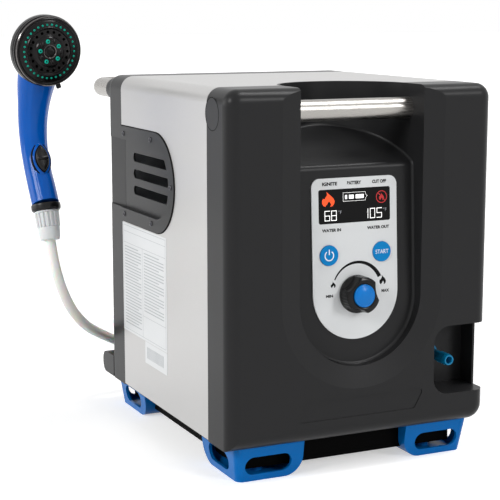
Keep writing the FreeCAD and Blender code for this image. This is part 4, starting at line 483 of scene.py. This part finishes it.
def copies(name, sample_shape, places, frame_place, material, body="case"):
    """One mesh of copies of a shape, drawn in mm, at each of the places, which are matrices in a frame."""
    sample_data = bpy.data.meshes.new("sample")
    bmesh.ops.recalc_face_normals(sample_shape, faces=sample_shape.faces)
    sample_shape.to_mesh(sample_data)
    sample_shape.free()
    sample = bpy.data.objects.new("sample", sample_data)
    scene.collection.objects.link(sample)
    data = bpy.data.meshes.new(name)
    data.from_pydata([place.translation[:] for place in places], [], [])
    turns = data.attributes.new("turn", "FLOAT_VECTOR", "POINT")
    for stored, place in zip(turns.data, places):
        stored.vector = place.to_euler()
    base = bpy.data.objects.new(name, data)
    scene.collection.objects.link(base)
    modifier = base.modifiers.new("copies", "NODES")
    modifier.node_group = COPY_TREE
    names = {socket.name: socket.identifier for socket in COPY_TREE.interface.items_tree}
    modifier[names["Sample"]] = sample
    modifier[names["Material"]] = material
    bpy.context.view_layer.update()
    whole = bpy.data.meshes.new_from_object(base.evaluated_get(bpy.context.evaluated_depsgraph_get()))
    base.modifiers.clear()
    shape = bmesh.new()
    shape.from_mesh(whole)
    bpy.data.batch_remove([base, sample, data, sample_data, whole])
    return piece(name, shape, frame_place, material, body)


def ring_places(count, radius, height=0.0, start=0.0):
    """Places on a ring, each with its own X pointing outwards."""
    turns = [math.radians(start + 360 * number / count) for number in range(count)]
    return [Matrix.Rotation(turn, 4, "Z") @ Matrix.Translation((radius, 0, height)) for turn in turns]


print("copy tree", len(COPY_TREE.nodes), "nodes")

# %% [markdown]
# The hand shower's handle is one moulding that narrows from the head to the hose. Its centre line and radii
# are the CAD's, drawn smooth with a Catmull-Rom curve. Its section isn't quite round: a low band runs down
# its front and gives the long, sharp streaks of light that polished ABS has. The flow switch is a pointed
# oval lens with a bar across it, in a bezel of the handle's blue.

# %% Hand shower
HANDLE_LINE = [(30, 12, 24), (44, 36, 21.5), (53, 60, 18.3), (57.5, 84, 16.6), (55, 110, 15.6),
               (45, 136, 15.3), (33.5, 156, 15.6), (24.5, 172, 15.6)]  # (back, drop, radius)
BAND_HALF, BAND_HIGH, BAND_EDGE = math.radians(38), 0.9, 0.14  # the edge is a share of the half width
FLATTENED = 0.03  # how much narrower the handle is across the band


def smooth_line(points, steps=8):
    """Points of a Catmull-Rom curve through the given ones."""
    padded = [points[0], *points, points[-1]]
    made = []
    for a, b, c, d in zip(padded, padded[1:], padded[2:], padded[3:]):
        for step in range(steps):
            t = step / steps
            made.append([0.5 * (2 * q + (r - p) * t + (2 * p - 5 * q + 4 * r - s) * t ** 2
                                + (3 * q - p - 3 * r + s) * t ** 3) for p, q, r, s in zip(a, b, c, d)])
    return made + [list(points[-1])]


def handle_shape(steps=72):
    """Rings across the centre line, skinned and closed at both ends."""
    shape = bmesh.new()
    line = smooth_line(HANDLE_LINE)
    rings = []
    for number, (back, drop, radius) in enumerate(line):
        before, after = line[max(number - 1, 0)], line[min(number + 1, len(line) - 1)]
        along = Vector((0, after[0] - before[0], before[1] - after[1])).normalized()
        front = along.cross(Vector((1, 0, 0)))
        front = -front if front.y > 0 else front
        ring = []
        for step in range(steps):
            angle = 2 * math.pi * step / steps
            away = abs((angle + math.pi) % (2 * math.pi) - math.pi) / BAND_HALF
            band = BAND_HIGH * (1 - min(max((away - 1 + BAND_EDGE) / BAND_EDGE, 0), 1))
            reach = (radius + band) * (1 - FLATTENED * math.cos(angle) ** 2)
            place = Vector((math.sin(angle) * reach, back, -drop)) + front * math.cos(angle) * reach
            ring.append(shape.verts.new(place))
        rings.append(ring)
    skin(shape, rings)
    shape.faces.new(rings[0])
    shape.faces.new(rings[-1])
    return shape


handle = piece("shower_handle", handle_shape(), HANDSET, slots["handset_plastic"], angle=50)

head = piece("shower_head", turned([
    (0, -42), (17.8, -42, 3), (30, -34.5, 10), (39.5, -20, 6), (39.5, -12.2, 0.4), (38.4, -11.4, 0.3),
    (38.4, -10.4, 0.3), (39.5, -9.6, 0.4), (39.5, -7.2, 0.8), (35.4, -6.9, 0.4), (33.9, -7.6), (33.9, -13.8),
    (0, -13.8)]), FACE, slots["spray_plastic"])
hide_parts("handset_head")

collar = piece("shower_collar", turned([
    (8, 0.5), (15.6, 0.5), (16.5, 0.9, 0.4), (16.8, 2.6, 1), (16.8, 6.2, 1), (15.8, 8.4, 0.6), (8, 8.4)]),
    HANDLE_END, slots["black_plastic"])
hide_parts("handset_collar")

TIP_HALF = 0.4  # half the width of a lens's blunt tip


def lens(half_long, half_wide, steps=20):
    """Pointed oval of two arcs, with its long way along Y."""
    radius = (half_long ** 2 + half_wide ** 2) / (2 * half_wide)
    heights = [half_long * math.sin(math.pi * (step / steps - 0.5)) for step in range(steps + 1)]
    right = [(math.sqrt(max(radius ** 2 - y ** 2, 0)) - radius + half_wide + TIP_HALF, y) for y in heights]
    return right + [(-x, y) for x, y in reversed(right)]


def domed(outline, base, rise, rings=8, floor=0.0):
    """Low dome over an outline: rings of it, each smaller and higher than the last."""
    shape = bmesh.new()
    loops = [[shape.verts.new((x, y, floor)) for x, y in outline]]
    for number in range(rings):
        t = number / rings
        scale, height = math.cos(t * math.pi / 2) ** 0.7, base + rise * math.sin(t * math.pi / 2)
        loops.append([shape.verts.new((x * scale, y * scale, height)) for x, y in outline])
    skin(shape, [*loops, [shape.verts.new((0, 0, base + rise))]])
    return shape


bezel = piece("switch_bezel", domed(lens(20.5, 10.2), 14.6, 3.2, floor=8), SWITCH, slots["handset_plastic"])
gap = piece("switch_gap", plate(lens(16.4, 8), 15, 17.95), SWITCH, slots["black_rubber"])
seam = piece("switch_seam", plate(lens(21.6, 11.2), 12, 15.2), SWITCH, slots["black_rubber"])
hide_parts("handset_body")
slide_shape = domed(lens(14.8, 7), 18.6, 2.4, floor=17.6)
bar = turned([(0, -6.2), (1.9, -6.2, 0.8), (2.4, -5.4), (2.4, 5.4), (1.9, 6.2, 0.8), (0, 6.2)], steps=20)
bar.transform(Matrix.Translation((0, 0, 20.6)) @ Matrix.Rotation(math.pi / 2, 4, "Y"))
bar_data = bpy.data.meshes.new("bar")
bar.to_mesh(bar_data)
bar.free()
slide_shape.from_mesh(bar_data)
bpy.data.meshes.remove(bar_data)
slide = piece("switch_slide", slide_shape, SWITCH, slots["black_plastic"], body="flow_switch")
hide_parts("flow_switch")
print("handle", len(handle.data.polygons), "faces; head", len(head.data.polygons), "faces")

# %% [markdown]
# The spray face is a turned disc with steps and grooves. Soft silicone nozzles stand in a ring of thirty-four
# round its edge and in a star of five near its middle, so lime can be rubbed off them. A ring of holes lies
# between them, drawn as flat black discs: painted shade for the dark inside of each hole. The face turns to
# choose the spray, and a small tab on its rim helps the thumb.

# %% Spray face
face = piece("spray_disc", turned([
    (0, 0.7), (4.6, 0.7, 0.8), (5.6, -0.3, 0.3), (6.4, -0.3, 0.2), (7.0, 0.5, 0.4), (15.6, 0.1, 0.8),
    (16.8, -1.4, 0.5), (18.4, -2.1, 0.4), (24.6, -2.6, 0.5), (25.6, -1.2, 0.5), (26.8, -1.1, 0.4),
    (27.4, -1.9, 0.3), (33.4, -2.9, 0.5), (34.2, -3.7, 0.3), (35.2, -3.7, 0.3), (36.0, -2.9, 0.4),
    (37.6, -3.6, 0.6), (38.6, -5.0, 0.4), (38.6, -6.6), (34, -6.6), (33.5, -12)], steps=128),
    FACE, slots["spray_plastic"], body="spray_face")
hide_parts("spray_face")
# silicone, moulded: matt, bright green-blue
teal_silicone = finish("teal_silicone", "#0fae96", 0.45, specular_ior_level=0.1)
# vacuum-plated ABS: the edge shows as a thin bright line
polished_rim = finish("polished_rim", "#6d6a69", 0.12, metal=1.0)
# painted shade: flat black that stands for the shadowed inside of a drilled hole
painted_hole_shade = finish("hole_painted_shade", "#020202", 0.9, specular_ior_level=0.0)

nozzle = [(0, -0.6), (0.5, -0.6), (0.5, 1.0), (0.85, 1.0), (1.05, 0.7), (1.3, -0.6)]
outer_nozzles = copies("outer_nozzles", turned(nozzle, steps=16), ring_places(34, 29.4, -2.3), FACE,
                       teal_silicone, body="spray_face")
big_nozzle = [(0, -0.8), (0.9, -0.8), (1.0, 1.3), (1.9, 1.3), (2.2, 0.9), (2.5, -0.8)]
inner_nozzles = copies("inner_nozzles", turned(big_nozzle, steps=20),
                       ring_places(5, 11.6, 0.4, start=32), FACE, teal_silicone, body="spray_face")
# the holes are flat black discs of painted shade laid on the face, not cut into it
holes = copies("spray_holes", turned([(1.6, 0.12), (1.45, 0.14), (0, 0.14)], steps=16),
               ring_places(19, 21.6, -2.3), FACE, painted_hole_shade, body="spray_face")
bump = domed(arc((0, 0), 2.6, steps=20)[::-1], -0.4, 1.3, floor=-0.6)
bumps = copies("face_bumps", bump, ring_places(5, 11.8, 0.3, start=68), FACE, slots["spray_plastic"],
               body="spray_face")
rim_outline = [(37.5, -3.25), (37.9, -3.2), (38.5, -4.1), (38.2, -4.6)]
rim_line = piece("rim_line", turned(rim_outline, steps=128), FACE, polished_rim, body="spray_face")
button_outline = [(6.5, -0.1), (6.7, 0.35), (7.1, 0.62), (7.4, 0.55)]
button_line = piece("button_line", turned(button_outline, steps=64), FACE, polished_rim, body="spray_face")
tab_shape = plate(box_outline(36, 43.5, -2.5, 2.5, 1), -6.7, -4.5)
tab_shape.transform(Matrix.Rotation(math.radians(-72), 4, "Z"))
tab = piece("spray_tab", tab_shape, FACE, slots["black_plastic"], body="spray_face")
print("nozzles", len(outer_nozzles.data.vertices), "holes", len(holes.data.vertices))

# %% [markdown]
# The hose is held by a white union nut. Its upper part has flat ribs for the fingers, its lower part is a
# smooth, slightly narrower sleeve. The ribs are copies of one bar.

# %% Hose nuts
nut = piece("ribbed_nut", turned([
    (7, 8.6), (13.4, 8.6, 0.5), (14.2, 9.3, 0.4), (14.2, 10.6, 0.3), (12.6, 11.2, 0.3), (11.4, 27.4, 0.3),
    (12.7, 28.2, 0.4), (12.4, 33, 0.5), (11.4, 41.2, 1.2), (10.2, 42.6, 0.8), (6.4, 42.6, 0.4), (6.2, 38)]),
    HANDLE_END, slots["nut_plastic"])
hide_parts("hose_nut")
rib = bmesh.new()
lower = [rib.verts.new((x, y, 11)) for x, y in ((12, -1.7), (14.2, -1.3), (14.2, 1.3), (12, 1.7))]
upper = [rib.verts.new((x, y, 27.6)) for x, y in ((11, -1.5), (13, -1.1), (13, 1.1), (11, 1.5))]
rib.faces.new(lower)
rib.faces.new(upper)
skin(rib, [lower, upper])
bmesh.ops.bevel(rib, geom=list(rib.edges), offset=0.4, segments=2, affect="EDGES")
nut_ribs = copies("nut_ribs", rib, ring_places(16, 0), HANDLE_END, slots["nut_plastic"])

OUTLET = Matrix.Translation((-112, 171, FITTINGS_UP)) @ BACKWARDS
outlet_rib = turned([(0, 3), (0.9, 3, 0.4), (1.1, 4), (1.1, 16.6), (0.7, 17.4, 0.3), (0, 17.4)], steps=12)
outlet_ribs = copies("outlet_nut_ribs", outlet_rib, ring_places(18, 13.9), OUTLET, slots["fitting_brass"])
print("nut ribs", len(nut_ribs.data.polygons), "faces")

# %% [markdown]
# The fascia is a printed film, so its words, its flames and the swelling arc round the knob are flat shapes
# that lie on it. The arc grows from thin to thick, as the flame does when the knob turns from low to high.

# %% Fascia print
PRINT_UP = 0.06  # how far print stands above the film, mm
BUTTON_UP, BUTTON_PRINT = 1.2, 1.26  # how far the buttons and the print on them stand above it
FLAME = [(0.36, 1), (0.52, 0.86), (0.7, 0.72), (0.88, 0.55), (0.98, 0.36), (0.94, 0.18), (0.8, 0.04),
         (0.62, 0), (0.7, 0.12), (0.66, 0.26), (0.55, 0.38), (0.47, 0.28), (0.4, 0.18), (0.3, 0.1),
         (0.28, 0.02), (0.12, 0.08), (0.02, 0.24), (0.02, 0.42), (0.1, 0.56), (0.18, 0.5), (0.24, 0.56),
         (0.3, 0.66), (0.4, 0.76), (0.4, 0.88)]  # in a box of one by one
# screen-printing ink: flat black
ink = finish("black_ink", "#060607", 0.5, specular_ior_level=0.1)
# pad-printing ink: white with a slight gloss
white_ink = finish("white_ink", "#f2f5f8", 0.45)


def flame(left, low, wide, high):
    """Outline of a flame that fills a box."""
    return [(left + x * wide, low + y * high) for x, y in FLAME]


printed = plate(ring_outline((2, -25.4), (26.3, 28.2), (30.6, 29.5), 25, 155), 0, PRINT_UP)
plate(flame(-29, -21, 6, 6.6), 0, PRINT_UP, printed)
plate(flame(27.6, -22, 8, 10), 0, PRINT_UP, printed)
for text, *edges in [("IGNITE", -36.9, -19.8, 82.6, 86.2), ("BATTERY", -8.4, 7.7, 82.6, 86.2),
                     ("CUT OFF", 20.5, 36.9, 82.6, 86.2), ("WATER IN", -37.8, -16.1, 36, 39.2),
                     ("WATER OUT", 14, 39.9, 36, 39.2), ("MIN", -34.5, -26.4, -30.6, -27.7),
                     ("MAX", 30.1, 39, -30, -26.8)]:
    words(text, *edges, PRINT_UP, printed, weight=0.05)
fascia_print = piece("fascia_print", printed, PANEL, ink)

power_sign = plate(ring_outline((-30.5, 12.1), 4.3, 5.4, 125, 415), BUTTON_UP, BUTTON_PRINT)
plate(box_outline(-31.05, -29.95, 12.9, 18.4), BUTTON_UP, BUTTON_PRINT, power_sign)
power_mark = piece("power_mark", power_sign, PANEL, white_ink, body="power_button")
start_mark = piece("start_mark", words("START", 22.9, 38.1, 10.3, 14.5, BUTTON_PRINT), PANEL, white_ink,
                   body="start_button")
print("print", len(fascia_print.data.polygons), "faces")

# %% [markdown]
# The knob is a round body with three wide hollows for the fingers. They are deepest at the front and end
# above the skirt at its foot, and the lobes between them are finely fluted. A low blue dome with a raised rim
# closes its front.

# %% Knob
HOLLOW_ROUND, HOLLOWS, FIRST_HOLLOW = 30, 3, 0.21  # each hollow's own radius, their number, the first's angle
FLUTES, FLUTE_DEEP = 36, 0.2
FLUTED_DEPTH, FLUTED_RADIUS = 2, 18.8  # rings with deeper hollows and a larger radius than these have flutes


def knob_shape(steps=216):
    """Rings of (radius, height, hollow depth) about the shaft, closed inwards over the front face."""
    profile = [(18.1, 0.7, 0), (19.4, 0.7, 0), (19.6, 1.6, 0), (19.5, 3.8, 0), (19.4, 4.4, 0.3),
               (19.4, 5, 3.4), (19.3, 6.2, 4.1), (19.2, 9.6, 4.5), (19.1, 12.6, 4.6), (19, 15.8, 4.6),
               (18.6, 17, 4.4), (17.8, 17.7, 3.8), (14, 17.9, 0.6), (12.3, 17.8, 0), (11.9, 17.3, 0),
               (11.9, 15.8, 0)]
    shape = bmesh.new()
    rings = []
    share = 2 * math.pi / HOLLOWS
    for radius, height, depth in profile:
        ring = []
        for step in range(steps):
            angle = 2 * math.pi * step / steps
            away = (angle - FIRST_HOLLOW + share / 2) % share - share / 2
            fluted = depth > FLUTED_DEPTH and radius > FLUTED_RADIUS
            flute = FLUTE_DEEP * (1 - math.cos(FLUTES * angle)) if fluted else 0
            centre = radius + HOLLOW_ROUND - depth
            dip = HOLLOW_ROUND ** 2 - (centre * math.sin(away)) ** 2
            reach = radius - flute
            if depth and dip > 0:
                reach = min(reach, centre * math.cos(away) - math.sqrt(dip))
            ring.append(shape.verts.new((reach * math.cos(angle), reach * math.sin(angle), height)))
        rings.append(ring)
    skin(shape, rings)
    return shape


KNOB = PANEL @ Matrix.Translation((0, -29, 0))
knob = piece("finger_knob", knob_shape(), KNOB, slots["knob_plastic"], body="knob", angle=60)
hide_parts("knob_body")
cap = piece("domed_cap", turned([
    (11.6, 15.8), (11.6, 18.8, 0.5), (10.9, 19.3, 0.4), (10.1, 18.8, 0.5), (8.5, 19.5, 2), (5, 20.3, 3),
    (0, 20.6)]),
    KNOB, slots["knob_cap_plastic"], body="knob", angle=60)
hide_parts("knob_cap")
print("knob", len(knob.data.polygons), "faces")

# %% [markdown]
# The display is a black window with lit signs behind it: a flame, a battery with three cells, a crossed-out
# flame and two temperatures in seven-segment digits. Each digit is built from the segments that it lights.

# %% Display
LIT_FROM, LIT_AT = -0.16, -0.14  # lower and upper face of the lit signs, just above the window
WINDOW_HALF, WINDOW_LOW, WINDOW_HIGH, WINDOW_ROUND = 41.3, 44.2, 78.8, 2.2
DIGIT_LOW, DIGIT_HIGH, BAR, BAR_GAP = 47, 10.6, 0.95, 0.12  # place and height of a digit, and its bars
SEGMENTS = {"0": "abcdef", "1": "bc", "5": "afgcd", "6": "afgedc", "8": "abcdefg"}

window_frame = bmesh.new()
for across in (-1, 1):
    for up, edge in ((1, WINDOW_LOW), (-1, WINDOW_HIGH)):
        corner = [(across * WINDOW_HALF, edge - up * 0.1), (across * WINDOW_HALF, edge + up * WINDOW_ROUND)]
        corner += [(across * (WINDOW_HALF - WINDOW_ROUND * (1 - math.cos(a))),
                    edge + up * WINDOW_ROUND * (1 - math.sin(a)))
                   for a in [math.pi / 2 * step / 6 for step in range(1, 7)]]
        plate(corner, -0.12, 0.03, window_frame)
window_corners = piece("window_corners", window_frame, PANEL, slots["panel_film"])


def digit(sign, left, wide, shape):
    """Adds the lit segments of one digit."""
    low, high, bar, half = DIGIT_LOW, DIGIT_HIGH, BAR, BAR / 2
    middle, right, top = low + high / 2, left + wide, low + high
    spans = {"a": (left, right, top - bar, top), "d": (left, right, low, low + bar),
             "g": (left, right, middle - half, middle + half), "b": (right - bar, right, middle, top - 0.3),
             "c": (right - bar, right, low + 0.3, middle), "f": (left, left + bar, middle, top - 0.3),
             "e": (left, left + bar, low + 0.3, middle)}
    for name in SEGMENTS[sign]:
        x1, x2, y1, y2 = spans[name]
        plate(box_outline(x1 + BAR_GAP, x2 - BAR_GAP, y1 + BAR_GAP, y2 - BAR_GAP), LIT_FROM, LIT_AT, shape)


lit = bmesh.new()
for sign, left, wide in (
        ("6", -34.6, 6.4), ("8", -27, 6.4), ("1", 13.4, 2.4), ("0", 17.6, 6.2), ("5", 25.4, 6.4)):
    digit(sign, left, wide, lit)
plate([(-13.2, 65.9), (12.8, 65.9), (12.8, 68), (15, 70.3), (12.8, 72.6), (12.8, 74.8), (-13.2, 74.8),
       (-13.2, 65.9), (-12.9, 66.2), (-12.9, 74.5), (12.5, 74.5), (12.5, 72.5), (14.6, 70.3), (12.5, 68.1),
       (12.5, 66.2), (-12.9, 66.2)], LIT_FROM, LIT_AT, lit)
for left, right in ((-10.9, -8.5), (-6.3, -0.9), (1.3, 10.7)):
    plate(box_outline(left, right, 68.3, 72.3), LIT_FROM, LIT_AT, lit)
lit_digits = piece("lit_digits", lit, PANEL, glow("white_segments", "#f4f4f2", 0.75))
degrees = words("°F", -18.6, -15, 53.8, 57, LIT_AT)
words("°F", 33.4, 37.2, 53.8, 57, LIT_AT, degrees)
degree_marks = piece("degree_marks", degrees, PANEL, glow("grey_segments", "#85878c", 0.4))
lit_flame = piece("lit_flame", plate(flame(-37.3, 61.4, 14.8, 15.2), LIT_FROM, LIT_AT), PANEL,
                  glow("orange_sign", "#f24a08", 0.55))
warning = plate(ring_outline((31.4, 68.4), 5.6, 6.4), LIT_FROM, LIT_AT)
plate(flame(28.4, 64.9, 6, 7.6), LIT_FROM - 0.01, LIT_AT - 0.01, warning)
plate([(26.9, 72.4), (27.5, 73), (36, 64.5), (35.4, 63.9)], LIT_FROM, LIT_AT, warning)
lit_warning = piece("lit_cut_off", warning, PANEL, glow("red_sign", "#b00f13", 0.28))
print("lit pieces", len(lit_digits.data.polygons))

# %% [markdown]
# Pan-head screws hold the vent covers and the rear shell. Each head is a low dome with a cross-shaped recess
# for the driver, and all of them are copies of one sample.

# %% Screws
def screw_shape(radius, rise):
    """Screw head, its seat at height zero, with a cross recess in its top."""
    steps, arm, half = 24, radius * 0.58, radius * 0.15
    shape = turned(
        [(radius, 0), (radius, rise * 0.35), (radius * 0.86, rise * 0.85), (radius * 0.7, rise)], steps)
    top_ring = [v for v in shape.verts if abs(v.co.z - rise) < 1e-6]
    cross = []
    for quarter in range(4):
        turn = Matrix.Rotation(quarter * math.pi / 2, 3, "Z")
        cross += [turn @ Vector(spot) for spot in ((half, half, rise), (arm, half, rise), (arm, -half, rise))]
    ordered = sorted(cross, key=lambda spot: math.atan2(spot.y, spot.x))
    upper = [shape.verts.new(spot) for spot in ordered]
    lower = [shape.verts.new(Vector((spot.x * 0.8, spot.y * 0.8, rise * 0.2))) for spot in ordered]
    count = len(upper)
    skin(shape, [upper, lower])
    shape.faces.new(lower)
    edges = [shape.edges.get((upper[n], upper[(n + 1) % count])) for n in range(count)]
    edges += [edge for edge in shape.edges if all(v in top_ring for v in edge.verts)]
    bmesh.ops.triangle_fill(shape, use_beauty=True, use_dissolve=False, edges=edges)
    return shape


def facing(point, direction):
    """Place in the whole frame whose Z points in a direction."""
    return Matrix.Translation(point) @ Vector(direction).to_track_quat("Z", "Y").to_matrix().to_4x4()


VENT_FACE, REAR_SEAT = 151.5, 168  # where the screw heads sit, mm from the middle
vent_spots = [(113.5, 330.5), (30, 330.5), (-26.5, 285), (113.5, 239.5), (30, 239.5)]
vent_places = [facing((side * VENT_FACE, y, z), (side, 0, 0)) @ Matrix.Rotation(0.4 * number, 4, "Z")
               for side in (-1, 1) for number, (y, z) in enumerate(vent_spots)]
vent_screws = copies("vent_screw_heads", screw_shape(3, 1.2), vent_places, Matrix.Identity(4),
                     slots["screw_steel"])
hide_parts("vent_screws")
rear_places = [facing((x, REAR_SEAT, z), (0, 1, 0)) for x in (-134, 134) for z in (80, 346)]
rear_screws = copies("rear_screw_heads", screw_shape(3.5, 2), rear_places, Matrix.Identity(4),
                     slots["screw_steel"])
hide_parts("case_screws")
print("screws", len(vent_places) + len(rear_places))

# %% [markdown]
# The label on the left side is a white film with ruled fields and plain grey bars, without any words. Thin
# dark gaps show where the vent cover and the grip's cap meet the case. The drain nozzle in the notch has
# rings that grip a push-on hose, and brass fittings at the rear show the ridges of their threads.

# %% Label, nozzle and threads
FILM, LABEL_UP = 0.2, 0.26  # how far the label's film and the print on it stand above the sheet, mm
ROW_PITCH, ROW_HIGH = 3.4, 1.1
rules = bmesh.new()
for left, right, low, high in [
        (-121, 7, 226.4, 226.9), (-121, 7, 219.5, 219.9), (-121, 7, 106.6, 107), (-121, -120.6, 107, 226.4),
        (6.6, 7, 107, 226.4), (-62, -61.6, 107, 207), (-121, 7, 206.6, 207), (-62, 7, 131, 131.4)]:
    plate(box_outline(left, right, low, high), FILM, LABEL_UP, rules)
for row in range(27):
    height = 202 - ROW_PITCH * row
    shorter = 9 * (row * 7 % 5 == 0), 14 * (row * 3 % 4 == 0)  # now and then a line ends early
    plate(box_outline(-117, -66 - shorter[0], height, height + ROW_HIGH), FILM, LABEL_UP, rules)
    if row < 20:
        plate(box_outline(-57, 2 - shorter[1], height, height + ROW_HIGH), FILM, LABEL_UP, rules)
for bar in range(15):
    start = -50 + 3.4 * bar
    plate(box_outline(start, start + 1.6, 85, 98), FILM, LABEL_UP, rules)
# screen-printing ink: grey rules
line_grey = finish("grey_ink", "#a3a7aa", 0.5)
label_rules = piece("label_rules", rules, LEFT_SIDE, line_grey)
small_label = piece("small_label", plate(box_outline(-56, 10, 79, 103.4, 0.8), 0, FILM), LEFT_SIDE,
                    slots["label_film"])

# dark gaps: round the vent cover's flange, and round the cap at the front grip's end
VENT_CENTRE, VENT_END = (-18.5, 285), -123.7
vent_edge = [(VENT_END, 231), *arc(VENT_CENTRE, 54, -90, 90), (VENT_END, 339)]
vent_edge += [(VENT_END, 339.9), *arc(VENT_CENTRE, 54.9, -90, 90)[::-1], (VENT_END, 230.1)]
gap_shape = plate(vent_edge, 0, 0.4)
plate(ring_outline((133, 369), 15.7, 16.4), 0, 0.1, gap_shape)
vent_gap = piece("side_gaps", gap_shape, LEFT_SIDE, slots["black_rubber"])

outline = [(9, 0.2), (9, 1.7, 0.3), (8.6, 2.1, 0.2), (5.7, 2.1, 0.4), (5.7, 20)]
for ring in reversed(range(3)):
    end = 38.4 - 5.4 * ring
    outline += [(5.5, end - 4.2), (6.3, end - 3.6, 0.2), (6.1, end - 1.8), (5.4, end - 0.2)]
outline += [(5.3, 40, 0.3), (4, 40, 0.2), (4, 12), (0, 12)]
drain = piece("barbed_nozzle", turned(outline, steps=48), DRAIN, slots["blue_plastic"])
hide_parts("drain_nozzle")


def thread(name, x, radius):
    """Seven ridges round a fitting on the rear face."""
    ridges = [(radius - 0.2, 1)]
    for turn in range(7):
        ridges += [(radius + 0.35, 2 + 2 * turn), (radius - 0.1, 3 + 2 * turn)]
    place = Matrix.Translation((x, 171.5, FITTINGS_UP)) @ BACKWARDS
    made = piece(name, turned(ridges, steps=64), place, slots["fitting_brass"], angle=20)
    return made


threads = [thread("water_thread", 112, 10), thread("gas_thread", 60, 8)]
print("nozzle", len(drain.data.polygons), "faces")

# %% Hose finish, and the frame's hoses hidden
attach(hose, "case")
hose.data.materials.append(slots["hose_plastic"])
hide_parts("outlet_hose", "hose_coil", "shower_hose")
